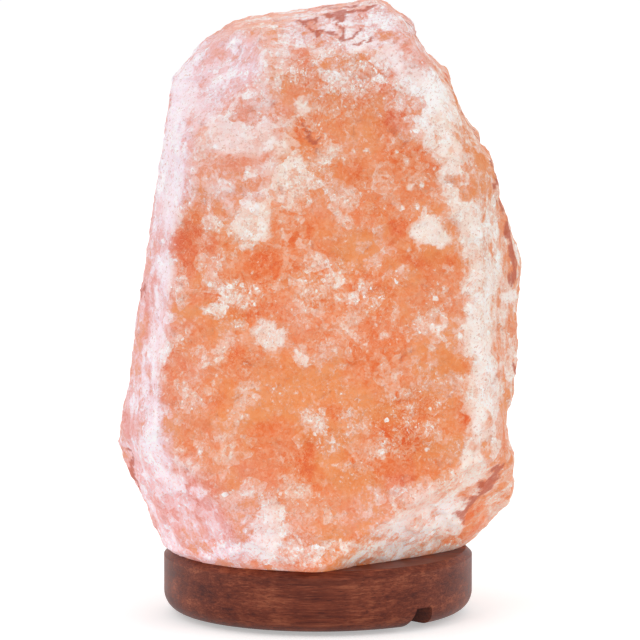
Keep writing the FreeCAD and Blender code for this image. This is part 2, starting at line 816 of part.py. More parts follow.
def make_bulb_cap_pieces():
    """The bulb's end contact, its insulator, the screw cap and the cement inside it."""
    tip = tube("bulb_tip", "0", "tip_radius", BULB_FOOT, TIP_TOP)
    round_ring(tip, "tip_edge_round", "tip_radius", BULB_FOOT, "tip_round")
    turned("bulb_insulator", (
        ("tip_radius + tip_fit", INSULATOR_FOOT),
        ("insulator_foot_radius", INSULATOR_FOOT),
        ("insulator_radius", INSULATOR_TOP),
        ("lead_bore_radius", INSULATOR_TOP),
        ("lead_bore_radius", f"{TIP_TOP} + tip_fit"),
        ("tip_radius + tip_fit", f"{TIP_TOP} + tip_fit"),
    ))
    turned("bulb_cap", (
        ("insulator_radius - cap_sheet", INSULATOR_TOP),
        ("insulator_radius", INSULATOR_TOP),
        ("cap_radius", f"{INSULATOR_TOP} + cap_taper"),
        ("cap_radius", BULB_CAP_TOP),
        ("cap_radius + cap_flare", GLASS_START),
        ("cap_radius + cap_flare - cap_sheet", GLASS_START),
        ("cap_radius - cap_sheet", BULB_CAP_TOP),
        ("cap_radius - cap_sheet", f"{INSULATOR_TOP} + cap_taper + cap_sheet"),
        ("insulator_radius - cap_sheet", f"{INSULATOR_TOP} + cap_sheet"),
    ))
    tube("cap_cement", "neck_radius + cement_fit", "cap_radius - cap_sheet - cement_fit",
         f"{BULB_CAP_TOP} - cement_height", BULB_CAP_TOP)


def glass_form(name, inset):
    """The envelope's form, drawn in by an inset: neck, shoulder, cylinder and domed crown."""
    body = doc.addObject("PartDesign::Body", name)
    neck, wide = f"neck_radius - {inset}", f"glass_radius - {inset}"
    shoulder, crown = f"{GLASS_START} + shoulder_height", f"{GLASS_TOP} - {inset}"
    revolve(body, f"{name}_turned", (
        ("0", f"{NECK_FOOT} - {inset}"),
        (neck, f"{NECK_FOOT} - {inset}"),
        (neck, GLASS_START),
        (wide, shoulder),
        (wide, crown),
        ("0", crown),
    ))
    round_ring(body, f"{name}_crown", wide, crown, f"{wide} - glass_wall")
    round_ring(body, f"{name}_shoulder", wide, shoulder, "shoulder_round")
    round_ring(body, f"{name}_throat", neck, GLASS_START, "shoulder_round")
    return body


def make_bulb_glass():
    """A thin envelope: its form hollowed by the same form one wall in, open at the neck's foot."""
    envelope = doc.addObject("Part::Cut", "bulb_glass")
    envelope.Base = glass_form("glass_outside", "0")
    envelope.Tool = glass_form("glass_inside", "glass_wall")
    keep("bulb_glass", envelope)


def make_bulb_insides():
    """The stem, the lead wires that spread from it, the bowed filament and its support.

    A lead wire leans outwards, so it stops short at both ends, where the edges of its flat ends would meet
    the stem and the filament.
    """
    turned("glass_stem", (
        ("0", NECK_FOOT),
        (NECK_BORE, NECK_FOOT),
        ("stem_radius", f"{NECK_FOOT} + stem_flare_height"),
        ("stem_radius", STEM_TOP),
        ("0", STEM_TOP),
    ))
    leads = []
    for side, sign in (("right", ""), ("left", "-")):
        spread = "(filament_radius - lead_place)"
        slope = f"sqrt({spread} * {spread} + lead_height * lead_height)"
        lead = rod(f"{side}_lead", "lead_radius", f"{slope} - lead_radius", f"{sign}lead_place",
                   level=f"{STEM_TOP} + lead_radius / 2")
        lead.Placement.Rotation = FreeCAD.Rotation(FreeCAD.Vector(0, 1, 0), 1)
        lead.setExpression("Placement.Rotation.Angle", bound(f"{sign}atan({spread} / lead_height)"))
        leads.append(lead)
    pair = doc.addObject("Part::Compound", "lead_wires")
    pair.Links = leads
    keep("lead_wires", pair)
    bow = doc.addObject("Part::Torus", "filament")
    bow.setExpression("Radius1", bound("filament_radius"))
    bow.setExpression("Radius2", bound("filament_wire"))
    bow.Angle3 = 180
    bow.Placement.Rotation = FreeCAD.Rotation(FreeCAD.Vector(1, 0, 0), 90)
    bow.setExpression("Placement.Base.z", bound(FILAMENT_LEVEL))
    keep("filament", bow)
    keep("filament_support", rod("filament_support", "support_radius",
                                 "lead_height + filament_radius - filament_wire", level=STEM_TOP))


def check_objects():
    doc.recompute()
    for item in doc.Objects:
        if "Invalid" in item.State or "Error" in item.State:
            raise RuntimeError(f"{item.Name} failed: {item.State}")
    for node, piece in nodes.items():
        if piece.Shape.isNull() or not piece.Shape.isValid():
            raise RuntimeError(f"{node} has no valid shape")


def write_parts():
    os.makedirs("parts", exist_ok=True)
    for node, piece in nodes.items():
        piece.Shape.exportStep(os.path.join("parts", f"{node}.step"))
        print(f"{node}: {len(piece.Shape.Solids)} solid(s), {piece.Shape.Volume:.1f} mm3")


fill_sheet()
make_salt_crystal()
make_wooden_base()
make_foot_pads()
make_base_screws()
make_screw_plugs()
make_clip_plate()
make_ring_nut()
make_holder_body()
make_holder_cap()
make_contact_carrier()
make_screw_shell()
make_centre_contact()
make_contact_rivets()
make_terminal_plates()
make_terminal_screws()
make_bulb_cap_pieces()
make_bulb_glass()
make_bulb_insides()
check_objects()
write_parts()
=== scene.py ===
"""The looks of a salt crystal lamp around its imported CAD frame: rock, wood, metal, plastic and glass.

Metres, in the frame's own axes: +Z is up and the front faces -Y. Sizes inside a material or on the rock's
face are in millimetres, and MM turns them into metres.
"""

import json
import math

import bmesh
import bpy
import numpy as np
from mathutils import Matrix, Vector, kdtree, noise


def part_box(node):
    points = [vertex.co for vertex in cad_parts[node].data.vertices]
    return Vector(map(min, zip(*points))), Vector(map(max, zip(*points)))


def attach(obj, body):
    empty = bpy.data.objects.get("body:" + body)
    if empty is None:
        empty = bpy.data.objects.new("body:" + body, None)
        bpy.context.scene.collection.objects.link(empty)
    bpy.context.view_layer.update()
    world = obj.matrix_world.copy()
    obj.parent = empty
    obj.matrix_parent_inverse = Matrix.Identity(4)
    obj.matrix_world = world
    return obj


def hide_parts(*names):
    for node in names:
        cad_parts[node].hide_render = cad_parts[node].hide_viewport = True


MM = 0.001

# The photograph: a square frame, with the lamp's axis and foot at these pixels of it
PHOTO_SIDE = 640
PHOTO_AXIS_X = 318
PHOTO_FOOT_Y = 613
PIXEL_MM = 0.401
CAMERA_TILT = math.radians(7.8)
CAMERA_DISTANCE = 3.0

# Light: the world's, and how much the floor is lifted towards white where it is seen
WORLD_LIGHT = 0.77
FLOOR_LIFT = 0.40
FLOOR_REACH = 8.0

# Lamps: place, size across, both in metres, and watts
LAMPS = {
    "key": ((-0.9, -1.3, 1.3), 1.0, 6),
    "fill": ((1.3, -0.8, 1.0), 1.2, 4.6),
    "rim": ((-1.6, -0.2, 0.5), 0.8, 2.5),
    "back": ((0.2, 1.4, 1.2), 1.0, 4),
}
LAMP_AIM = Vector((0, 0, 0.12))

# Rock, in millimetres: the mesh's grain, how far its faces are set in and over which levels, the seeds of
# its facets, the bulb's place and where its glow ends and starts, the sawn foot's level, and the room
# that the bores keep
ROCK_VOXEL = 1.34
ROCK_INSET = 0.7
INSET_LEVELS = (238, 215)
CHIP_SEED = 12
GRAIN_SEED = 13
ROCK_LAMP = np.array((0, 0, 62.0))
LAMP_REACH = (118, 55)
ROCK_FOOT = 26.5
BORE_TOP = 121.5
BORE_SPARE = 8
INNER_REACH = 40


# ---- colours and nodes

def srgb(red, green, blue):
    """A colour as it looks on screen, 0 to 255, as the linear colour a shader takes."""
    def linear(channel):
        share = channel / 255
        return share / 12.92 if share <= 0.04045 else ((share + 0.055) / 1.055) ** 2.4
    return (linear(red), linear(green), linear(blue), 1.0)


def darker(colour, share):
    return tuple(share * channel for channel in colour[:3]) + (1.0,)


class Shader:
    """The node tree of a material or the world, with short calls to add and link nodes."""

    def __init__(self, owner, output="OutputMaterial"):
        owner.use_nodes = True
        self.owner = owner
        self.tree = owner.node_tree
        self.tree.nodes.clear()
        self.output = self.add(output)

    def add(self, kind, inputs=None, **settings):
        node = self.tree.nodes.new(f"ShaderNode{kind}")
        for name, setting in settings.items():
            setattr(node, name, setting)
        for name, source in (inputs or {}).items():
            self.feed(node.inputs[name], source)
        return node

    def feed(self, socket, source):
        if isinstance(source, bpy.types.NodeSocket):
            self.tree.links.new(source, socket)
        else:
            socket.default_value = source

    def place(self, scale=(1, 1, 1)):
        """The point's place on the object in millimetres, stretched by a scale."""
        here = self.add("TexCoord").outputs["Object"]
        stretch = [1000 * share for share in scale]
        return self.add("Mapping", {"Vector": here, "Scale": stretch}).outputs["Vector"]

    def noise(self, size, where, detail, rough=0.55, distortion=0.0):
        """Clouds whose lumps measure about size millimetres, from 0 to 1."""
        inputs = {"Vector": where, "Scale": 1 / size, "Detail": detail, "Roughness": rough,
                  "Distortion": distortion}
        return self.add("TexNoise", inputs).outputs["Fac"]

    def cells(self, size, where, output="Distance"):
        """Grains about size millimetres across."""
        return self.add("TexVoronoi", {"Vector": where, "Scale": 1 / size}).outputs[output]

    def attribute(self, name):
        return self.add("Attribute", attribute_name=name).outputs["Fac"]

    def math(self, operation, first, second=0.0, clamp=False):
        return self.add("Math", {0: first, 1: second}, operation=operation, use_clamp=clamp).outputs[0]

    def total(self, first, *others):
        for other in others:
            first = self.math("ADD", first, other)
        return first

    def times(self, first, second):
        return self.math("MULTIPLY", first, second)

    def swing(self, source, reach):
        """Noise as an addition of -reach to reach."""
        return self.span(source, 0.3, 0.7, -reach, reach)

    def span(self, source, low, high, start=0.0, end=1.0):
        """Map low..high of a value to start..end, and stop at both."""
        inputs = {"Value": source, "From Min": low, "From Max": high, "To Min": start, "To Max": end}
        return self.add("MapRange", inputs).outputs["Result"]

    def mix(self, factor, first, second):
        node = self.add("Mix", data_type="RGBA")
        self.feed(node.inputs[0], factor)
        self.feed(node.inputs[6], first)
        self.feed(node.inputs[7], second)
        return node.outputs[2]

    def ramp(self, factor, *stops):
        """Colours along a value: stops of (place, red, green, blue)."""
        node = self.add("ValToRGB", {"Fac": factor})
        elements = node.color_ramp.elements
        while len(elements) < len(stops):
            elements.new(0.5)
        for element, (place, *colour) in zip(elements, stops):
            element.position = place
            element.color = srgb(*colour)
        return node.outputs["Color"]

    def bump(self, height, depth, strength, after=None):
        inputs = {"Height": height, "Distance": depth * MM, "Strength": strength}
        if after is not None:
            inputs["Normal"] = after
        return self.add("Bump", inputs).outputs["Normal"]

    def finish(self, inputs, kind="BsdfPrincipled"):
        """End in a shader, and give the material or world."""
        self.feed(self.output.inputs["Surface"], self.add(kind, inputs).outputs[0])
        return self.owner


def new_shader(name):
    return Shader(bpy.data.materials.new(name))


# ---- materials

def rock_salt():
    """Orange salt that turns peach, cream and white where the crystal is frosted or crushed.

    The mesh's fields say how warm, frosted, crushed, pink, streaked or shaded a spot is, and the nodes give
    the edges and the grain. Painted light is among them: a glow round the bulb, towards the bottom and on
    the undersides, a paler right side and a pinker left side, and painted shade in cracks and hollows.
    """
    shade = new_shader("rock_salt")
    here = shade.place()
    bent = bent_place(shade, here, 3.5, 2.8)
    grit = shade.noise(1.0, here, detail=4, rough=0.8)
    tone = plated(shade, here, salt_tone(shade, here, bent, grit))
    colour = salt_colour(shade, here, tone)
    # Painted shade in the cracks and hollows, with some random grit, turns the colour a darker red
    shadow = shade.total(shade.attribute("painted_crevice_shade"), shade.swing(grit, 0.3))
    colour = shade.mix(shade.span(shadow, 0.3, 0.95, 0.0, 0.85), colour, srgb(190, 86, 56))
    normal = shade.bump(tone, 0.5, 0.5)
    normal = shade.bump(grit, 0.4, 0.5, normal)
    return shade.finish({
        "Base Color": colour,
        "Roughness": shade.span(tone, 0.2, 0.8, 0.42, 0.70),
        "Normal": normal,
        "IOR": 1.54,
        "Specular IOR Level": 0.35,
        "Subsurface Weight": 0.15,
        "Subsurface Radius": (1.0, 0.45, 0.25),
        "Subsurface Scale": 1.2 * MM,
        "Emission Color": colour,
        # Painted light: the salt shines in its own colour where the glow field is high
        "Emission Strength": shade.times(shade.attribute("glow"), 0.10),
    })


def salt_colour(shade, here, tone):
    """The colour of a tone in orange or pink salt, golden clouds and brown pits; some pink is painted
    light.
    """
    orange = shade.ramp(
        tone,
        (0.00, 228, 92, 30),
        (0.16, 234, 118, 58),
        (0.34, 238, 148, 102),
        (0.50, 240, 174, 144),
        (0.66, 244, 202, 182),
        (0.82, 249, 228, 216),
        (1.00, 255, 250, 246),
    )
    pink = shade.ramp(
        tone,
        (0.00, 214, 112, 96),
        (0.25, 231, 150, 140),
        (0.50, 241, 188, 188),
        (0.70, 246, 212, 218),
        (0.86, 250, 232, 240),
        (1.00, 254, 248, 252),
    )
    colour = shade.mix(shade.attribute("pink"), orange, pink)
    golden = shade.span(shade.noise(24, here, detail=3), 0.46, 0.60, 0.0, 0.42)
    golden = shade.times(golden, shade.span(tone, 0.25, 0.55, 1.0, 0.0))
    colour = shade.mix(golden, colour, srgb(240, 166, 98))
    pits = shade.span(shade.noise(1.1, here, detail=3, rough=0.8), 0.37, 0.43, 0.60, 0.0)
    pits = shade.times(pits, shade.span(tone, 0.15, 0.6, 0.45, 1.0))
    return shade.mix(pits, colour, srgb(208, 142, 114))


def salt_tone(shade, here, bent, grit):
    """How pale a spot is: 0 for clear deep orange, 1 for white crushed crystal."""
    ragged = shade.noise(13, here, detail=7, rough=0.60, distortion=0.5)
    streaks = shade.noise(3, shade.place((1, 1, 0.08)), detail=5, rough=0.62)
    crushed = shade.attribute("crushed")
    frost = shade.total(
        shade.attribute("frost"),
        shade.span(ragged, 0.28, 0.72, -0.32, 0.32),
        shade.times(shade.attribute("drag"), shade.swing(streaks, 0.24)),
        shade.total(shade.swing(grit, 0.07), grains(shade, 2.4, bent, 1, 0.10)),
        grains(shade, 6.5, bent, 0, 0.20),
    )
    soft = shade.span(frost, 0.15, 1.15, 0.0, 0.40)
    crisp = shade.total(shade.span(frost, 0.56, 0.60, 0.0, 0.13), shade.span(frost, 0.36, 0.38, 0.0, 0.10))
    warmth = shade.total(shade.attribute("warmth"), grains(shade, 2.4, bent, 2, 0.10))
    clear = shade.span(warmth, 0.0, 1.0, 0.52, 0.00)
    crumbs = shade.total(grains(shade, 0.95, bent, 0, 0.11), shade.swing(grit, 0.07))
    crumbs = shade.times(crumbs, shade.span(crushed, 0.0, 1.0, 0.6, 1.7))
    tone = shade.total(flecks(shade, here, bent, crushed), soft, crisp, clear, crumbs)
    return shade.math("ADD", tone, 0.0, clamp=True)


def plated(shade, here, tone):
    """Even pale plates with crisp ragged edges, where a thin skin of the crystal is crushed."""
    edge = shade.noise(10, here, detail=8, rough=0.66, distortion=0.6)
    plate = shade.total(shade.attribute("plate"), shade.swing(edge, 0.55))
    cover = shade.span(plate, 0.50, 0.60, 0.0, 0.55)
    level = shade.span(shade.attribute("frost"), 0.4, 1.0, 0.62, 0.90)
    change = shade.times(cover, shade.math("SUBTRACT", level, tone))
    return shade.math("ADD", tone, change, clamp=True)


def bent_place(shade, here, size, reach):
    """The place, pushed about by soft noise, so that grains laid out on it lose their straight sides."""
    push = shade.add("TexNoise", {"Vector": here, "Scale": 1 / size, "Detail": 3.0}).outputs["Color"]
    push = shade.add("VectorMath", {0: push, 1: (0.5, 0.5, 0.5)}, operation="SUBTRACT").outputs[0]
    push = shade.add("VectorMath", {0: push, "Scale": reach}, operation="SCALE").outputs[0]
    return shade.add("VectorMath", {0: here, 1: push}, operation="ADD").outputs[0]


def picked(shade, size, where, channel):
    """A random number from 0 to 1 for each grain of a size."""
    return shade.add("SeparateColor", {"Color": shade.cells(size, where, "Color")}).outputs[channel]


def grains(shade, size, where, channel, reach):
    """An addition to the tone, other for each grain, from -reach to reach."""
    return shade.span(picked(shade, size, where, channel), 0, 1, -reach, reach)


def dots(shade, size, where, radius, share, height):
    """Small white crystals, one in each grain whose random number is above a share."""
    inside = shade.span(shade.cells(size, where), radius, 0.75 * radius, 0.0, height)
    chosen = shade.span(picked(shade, size, where, 2), share, share + 0.02)
    return shade.times(inside, chosen)


def flecks(shade, here, bent, crushed):
    """White crystals, splinters and thin light veins in loose swarms, as an addition to the tone."""
    swarm = shade.span(shade.noise(15, here, detail=3), 0.42, 0.60, 0.1, 0.9)
    specks = shade.noise(1.5, shade.place((1, 1, 0.7)), detail=3, rough=0.7, distortion=1.0)
    veins = shade.noise(5, here, detail=5, rough=0.65, distortion=0.9)
    veins = shade.math("ABSOLUTE", shade.math("SUBTRACT", veins, 0.5))
    marks = shade.total(
        shade.span(specks, 0.59, 0.65, 0.0, 0.34),
        shade.span(specks, 0.38, 0.33, 0.0, -0.16),
        shade.span(veins, 0.003, 0.014, 0.20, 0.0),
        dots(shade, 7.5, bent, 0.17, 0.62, 0.5),
        dots(shade, 3.4, bent, 0.18, 0.55, 0.34),
    )
    return shade.times(marks, shade.total(swarm, crushed))


def turned_hardwood():
    """Stained and polished wood: long grain across the front, fine pores, and a soft sheen."""
    shade = new_shader("turned_hardwood")
    along = shade.place((0.03, 0.4, 1.0))
    streaks = shade.noise(1.1, along, detail=8, rough=0.68, distortion=0.5)
    bands = shade.noise(7, along, detail=3, rough=0.5, distortion=0.3)
    figure = shade.noise(11, shade.place((0.5, 1, 1)), detail=5, rough=0.65)
    pores = shade.noise(0.4, shade.place((0.06, 0.5, 1.0)), detail=3, rough=0.75)
    tone = shade.total(shade.times(streaks, 0.45), shade.times(bands, 0.25), shade.times(figure, 0.30))
    colour = shade.ramp(
        shade.span(tone, 0.39, 0.61),
        (0.00, 72, 27, 15),
        (0.35, 100, 43, 24),
        (0.65, 123, 58, 36),
        (1.00, 156, 86, 58),
    )
    colour = shade.mix(shade.span(pores, 0.39, 0.46, 0.60, 0.0), colour, srgb(56, 20, 12))
    colour = shade.mix(shade.span(pores, 0.56, 0.66, 0.0, 0.30), colour, srgb(172, 104, 76))
    normal = shade.bump(streaks, 0.10, 0.3)
    normal = shade.bump(pores, 0.06, 0.5, normal)
    return shade.finish({
        "Base Color": colour,
        "Roughness": shade.span(streaks, 0.3, 0.7, 0.38, 0.52),
        "Normal": normal,
        "Specular IOR Level": 0.22,
        "Specular Tint": (0.85, 0.85, 1.0, 1.0),
    })


def plastic(name, colour, roughness, grain=0.6):
    """Moulded plastic: a fine even grain and faint flow marks."""
    shade = new_shader(name)
    here = shade.place()
    grit = shade.noise(grain, here, detail=3, rough=0.6)
    flow = shade.noise(14, shade.place((1, 1, 0.3)), detail=3)
    return shade.finish({
        "Base Color": shade.mix(shade.span(flow, 0.3, 0.7), darker(colour, 0.82), colour),
        "Roughness": shade.span(grit, 0.3, 0.7, roughness - 0.06, roughness + 0.06),
        "Normal": shade.bump(grit, 0.06, 0.5),
    })


def metal(name, colour, roughness, brushed=(1, 1, 1), tarnish=None):
    """Plated or rolled metal: fine scratches one way, and a duller cloudy film."""
    shade = new_shader(name)
    scratches = shade.noise(0.3, shade.place(brushed), detail=4, rough=0.7)
    film = shade.noise(5, shade.place(), detail=5, rough=0.6)
    return shade.finish({
        "Base Color": shade.mix(shade.span(film, 0.4, 0.75), colour, tarnish or darker(colour, 0.72)),
        "Metallic": 1.0,
        "Roughness": shade.span(film, 0.3, 0.7, roughness, roughness + 0.15),
        "Normal": shade.bump(scratches, 0.03, 0.4),
    })


def clear_glass(name, frost=0.0):
    """Thin blown glass with very slight waves."""
    shade = new_shader(name)
    waves = shade.noise(7, shade.place(), detail=2)
    return shade.finish({
        "Base Color": srgb(250, 250, 250),
        "Roughness": shade.span(waves, 0.3, 0.7, frost, frost + 0.02),
        "Transmission Weight": 1.0,
        "IOR": 1.5,
        "Normal": shade.bump(waves, 0.05, 0.3),
    })


def make_materials():
    silver = srgb(205, 205, 202)
    return {
        "rock_salt": rock_salt(),
        "turned_hardwood": turned_hardwood(),
        "pad_rubber": plastic("pad_rubber", srgb(58, 56, 55), 0.75, 0.4),
        "zinc_screw": metal("zinc_screw", silver, 0.28),
        "plug_plastic": plastic("plug_plastic", srgb(206, 204, 198), 0.5),
        "spring_steel": metal("spring_steel", srgb(190, 190, 190), 0.3, (0.05, 1, 1)),
        "holder_plastic": plastic("holder_plastic", srgb(232, 230, 224), 0.42),
        "carrier_board": plastic("carrier_board", srgb(214, 204, 186), 0.65, 0.3),
        "contact_brass": metal("contact_brass", srgb(214, 178, 104), 0.26, tarnish=srgb(166, 128, 70)),
        "solder_contact": metal("solder_contact", srgb(178, 178, 176), 0.4),
        "black_glass": plastic("black_glass", srgb(26, 24, 26), 0.12, 2),
        "nickel_cap": metal("nickel_cap", srgb(212, 206, 194), 0.22, (1, 1, 0.1)),
        "cement": plastic("cement", srgb(206, 188, 150), 0.85, 0.3),
        "bulb_glass": clear_glass("bulb_glass"),
        "stem_glass": clear_glass("stem_glass", 0.04),
        "lamp_wire": metal("lamp_wire", srgb(170, 160, 150), 0.35),
    }


# ---- the rock's mesh

def add_object(name, data):
    obj = bpy.data.objects.new(name, data)
    bpy.context.scene.collection.objects.link(obj)
    return obj


def modified(name, mesh, kind, **settings):
    """What a modifier makes of a mesh, as a new mesh."""
    blank = add_object(f"{name}_blank", mesh)
    modifier = blank.modifiers.new(name, kind)
    for setting, choice in settings.items():
        setattr(modifier, setting, choice)
    depsgraph = bpy.context.evaluated_depsgraph_get()
    made = bpy.data.meshes.new_from_object(blank.evaluated_get(depsgraph))
    made.name = name
    bpy.data.objects.remove(blank)
    return made


def rows_of(items, name, width, kind=float):
    """One value of each of a mesh's corners or edges, a row each."""
    flat = np.zeros(len(items) * width, dtype=kind)
    items.foreach_get(name, flat)
    return flat.reshape(-1, width)


def coordinates(mesh):
    """The mesh's corners, in millimetres."""
    return rows_of(mesh.vertices, "co", 3) / MM


def normals(mesh):
    return rows_of(mesh.vertex_normals, "vector", 3)


def edges(mesh):
    return rows_of(mesh.edges, "vertices", 2, np.int64)


def smoothed(field, links, rounds):
    """A field on the corners, averaged with the neighbours a few times."""
    count = len(field)
    one = np.concatenate((links[:, 0], links[:, 1]))
    other = np.concatenate((links[:, 1], links[:, 0]))
    share = 1 / np.maximum(np.bincount(one, minlength=count), 1)
    columns = field.reshape(count, -1).copy()
    for _ in range(rounds):
        for column in range(columns.shape[1]):
            around = np.bincount(one, weights=columns[other, column], minlength=count) * share
            columns[:, column] = 0.5 * (columns[:, column] + around)
    return columns.reshape(field.shape)


def step(low, high, value):
    """A smooth rise from 0 at low to 1 at high."""
    share = np.clip((value - low) / (high - low), 0, 1)
    return share * share * (3 - 2 * share)


def clouds(points, size, seed, octaves=3):
    """Soft noise of about -1 to 1 with lumps of about size millimetres."""
    offset = Vector((seed * 17.3, seed * 5.1, seed * 9.7))
    return np.array([noise.fractal(Vector(point / size) + offset, 0.6, 2.0, octaves) for point in points])


class Cells:
    """Random cells of one size that fill a box, each with a tilted flat facet of its own."""

    def __init__(self, low, high, size, seed):
        self.random = np.random.default_rng(seed)
        axes = [np.arange(start - size, end + 2 * size, size) for start, end in zip(low, high)]
        grid = np.stack(np.meshgrid(*axes, indexing="ij"), -1).reshape(-1, 3)
        self.seeds = grid + self.random.uniform(-0.5, 0.5, grid.shape) * size
        self.tree = kdtree.KDTree(len(self.seeds))
        for number, seed_point in enumerate(self.seeds):
            self.tree.insert(seed_point, number)
        self.tree.balance()

    def facets(self, points, tilt, offset):
        """How high each point stands on its cell's facet, with a step where two cells meet."""
        own = np.array([self.tree.find(point)[1] for point in points])
        slopes = self.random.uniform(-tilt, tilt, self.seeds.shape)
        levels = self.random.uniform(-offset, offset, len(self.seeds))
        return levels[own] + np.einsum("ij,ij->i", points - self.seeds[own], slopes[own])


# Dents and bumps of the outline: (x, y, z) in millimetres, reach, and depth (outwards below zero)
DENTS = {
    "right_step": ((77, 0, 170), 7, 1.2),
    "right_bulge": ((79, 0, 148), 16, -2.4),
    "right_hip": ((78, 0, 52), 14, -1.5),
    "left_step": ((-76, 0, 101), 9, 1.8),
    "left_shoulder": ((-62, 0, 200), 12, 1.5),
    "right_shoulder": ((57, 0, 208), 7, 1.2),
}

# The sawn foot's edge: the farthest it reaches from the bore, in millimetres, at each direction in degrees
FOOT_RIM = {
    -180: 60, -150: 59.5, -122: 60, -105: 61, -92: 62, -84: 58, -73: 49, -58: 46, -43: 45.5, -28: 48,
    -15: 52, 4: 59.5, 40: 60, 90: 57, 140: 60, 180: 60,
}
FOOT_FLARE = 1.3


def shape_rock(mesh, low, high):
    """Break up the lump's faces into chips and grains, but leave the sawn foot and the bores."""
    points = coordinates(mesh)
    rough = rough_share(points)
    shift = Cells(low, high, 10, CHIP_SEED).facets(points, tilt=0.08, offset=0.18)
    shift += Cells(low, high, 4.5, GRAIN_SEED).facets(points, tilt=0.13, offset=0.14)
    shift -= ROCK_INSET * step(*INSET_LEVELS, points[:, 2])
    shift += 0.3 * clouds(points, 12, 1) + 0.15 * clouds(points, 3.5, 2)
    for centre, reach, depth in DENTS.values():
        away = np.linalg.norm(points - np.array(centre, float), axis=1)
        shift -= depth * np.exp(-(away / reach) ** 2)
    points = drawn_to_rim(points + normals(mesh) * (shift * rough)[:, None])
    points += 0.5 * (smoothed(points, edges(mesh), rounds=1) - points)
    mesh.vertices.foreach_set("co", (points * MM).ravel())
    mesh.update()
    return points, rough


def drawn_to_rim(points):
    """Draw what stands out beyond the foot's rim back towards it, with a ragged edge."""
    reach = np.hypot(points[:, 0], points[:, 1])
    direction = np.degrees(np.arctan2(points[:, 1], points[:, 0]))
    rim = np.interp(direction, list(FOOT_RIM), list(FOOT_RIM.values()))
    limit = rim + 0.7 * clouds(points, 5, 3, 4) + FOOT_FLARE * (points[:, 2] - ROCK_FOOT)
    over = np.where(reach > INNER_REACH, np.maximum(reach - limit, 0), 0)
    drawn = points.copy()
    drawn[:, :2] *= ((reach - over) / np.maximum(reach, 1))[:, None]
    return drawn


def rough_share(points):
    """1 on the hewn outside, 0 on the sawn foot and in the bores."""
    reach = np.hypot(points[:, 0], points[:, 1])
    outside = np.where((reach < INNER_REACH) & (points[:, 2] < BORE_TOP + BORE_SPARE), 0.0, 1.0)
    return outside * step(ROCK_FOOT + 0.5, ROCK_FOOT + 6, points[:, 2])


# ---- the rock's colours

def seen_place(points):
    """Where the camera sees each point: across and up in millimetres in the plane of the lamp's axis."""
    up = points[:, 2] + points[:, 1] * math.tan(CAMERA_TILT)
    return np.stack((points[:, 0], up), -1)


def photo_place(pixel):
    """The same for a pixel of the photograph."""
    across = (pixel[0] - PHOTO_AXIS_X) * PIXEL_MM
    up = (PHOTO_FOOT_Y - pixel[1]) * PIXEL_MM / math.cos(CAMERA_TILT)
    return np.array((across, up))


# What is painted on the front, in pixels of the photograph. A line is (its corners, half width), and a
# patch is an oval: (centre, half width, half height, how much).

# Frosted ridges and bands
PALE_RIDGES = {
    "left_ridge_high": (((196, 50), (182, 90), (172, 160), (168, 230)), 10),
    "left_ridge": (((168, 230), (164, 290), (158, 345), (158, 400), (155, 440)), 10),
    "left_foot": (((152, 440), (165, 470), (180, 485)), 9),
    "right_crown": (((360, 48), (392, 58), (408, 80), (424, 100), (432, 140), (445, 160)), 12),
    "right_ridge": (((445, 160), (458, 200), (470, 260), (479, 320), (476, 380), (479, 430)), 12),
    "right_foot": (((478, 430), (470, 465), (455, 490), (450, 520)), 12),
    "crown_edge": (((250, 22), (300, 18), (345, 22), (385, 26), (397, 20)), 5),
}

# Frosted patches
FROST_PATCHES = {
    "lilac_shoulder": ((182, 92), 18, 24, 0.38),
    "pale_brow": ((250, 142), 46, 16, 0.12),
    "pale_field": ((255, 222), 19, 20, 0.34),
    "pale_field_right": ((295, 226), 12, 18, 0.26),
    "pale_field_top": ((285, 183), 30, 22, 0.24),
    "hexagon": ((427, 236), 19, 16, 0.60),
    "cluster": ((242, 293), 20, 13, 0.36),
    "cluster_low": ((216, 308), 15, 6, 0.34),
    "knot": ((268, 335), 14, 16, 0.38),
    "streak": ((302, 355), 6, 13, 0.34),
    "shelf": ((264, 381), 22, 7, 0.30),
    "shelf_left": ((208, 388), 10, 8, 0.30),
    "lens": ((312, 415), 11, 16, 0.34),
    "root": ((295, 480), 17, 12, 0.34),
    "column": ((270, 520), 14, 26, 0.34),
    "spot_low_left": ((200, 490), 9, 8, 0.42),
    "foot_band": ((330, 550), 125, 12, 0.20),
    "foot_right": ((425, 510), 42, 30, 0.22),
    "crescent_light": ((435, 327), 9, 5, 0.32),
    "crown_flake_left": ((328, 33), 10, 6, 0.50),
    "crown_flake_right": ((348, 37), 5, 4, 0.55),
    "flake_high": ((302, 110), 9, 9, 0.34),
    "flake_mid": ((285, 150), 20, 7, 0.30),
    "edge_flake": ((510, 297), 10, 7, 0.50),
    "flank_line": ((470, 165), 5, 30, 0.30),
    "flank_pale": ((478, 220), 14, 30, 0.25),
    "white_stripe": ((478, 408), 5, 26, 0.40),
    "lump": ((496, 492), 16, 30, 0.10),
    "spot_near_hexagon": ((445, 270), 7, 5, 0.45),
    "twin_spot_left": ((341, 281), 7, 4, 0.50),
    "twin_spot_right": ((367, 286), 8, 9, 0.45),
    "twin_spot_low": ((347, 302), 11, 8, 0.50),
    "small_spot": ((408, 192), 5, 4, 0.55),
    "spot_right": ((383, 338), 5, 4, 0.45),
    "band_right": ((486, 320), 18, 75, 0.22),
    "upper_left": ((232, 165), 62, 92, 0.17),
    "ridge_white": ((434, 122), 13, 46, 0.28),
    "top_middle": ((300, 76), 92, 34, 0.13),
    "crown": ((345, 30), 60, 20, 0.10),
    "left_low": ((150, 450), 22, 60, 0.12),
    "lower_left": ((185, 500), 46, 50, 0.05),
}

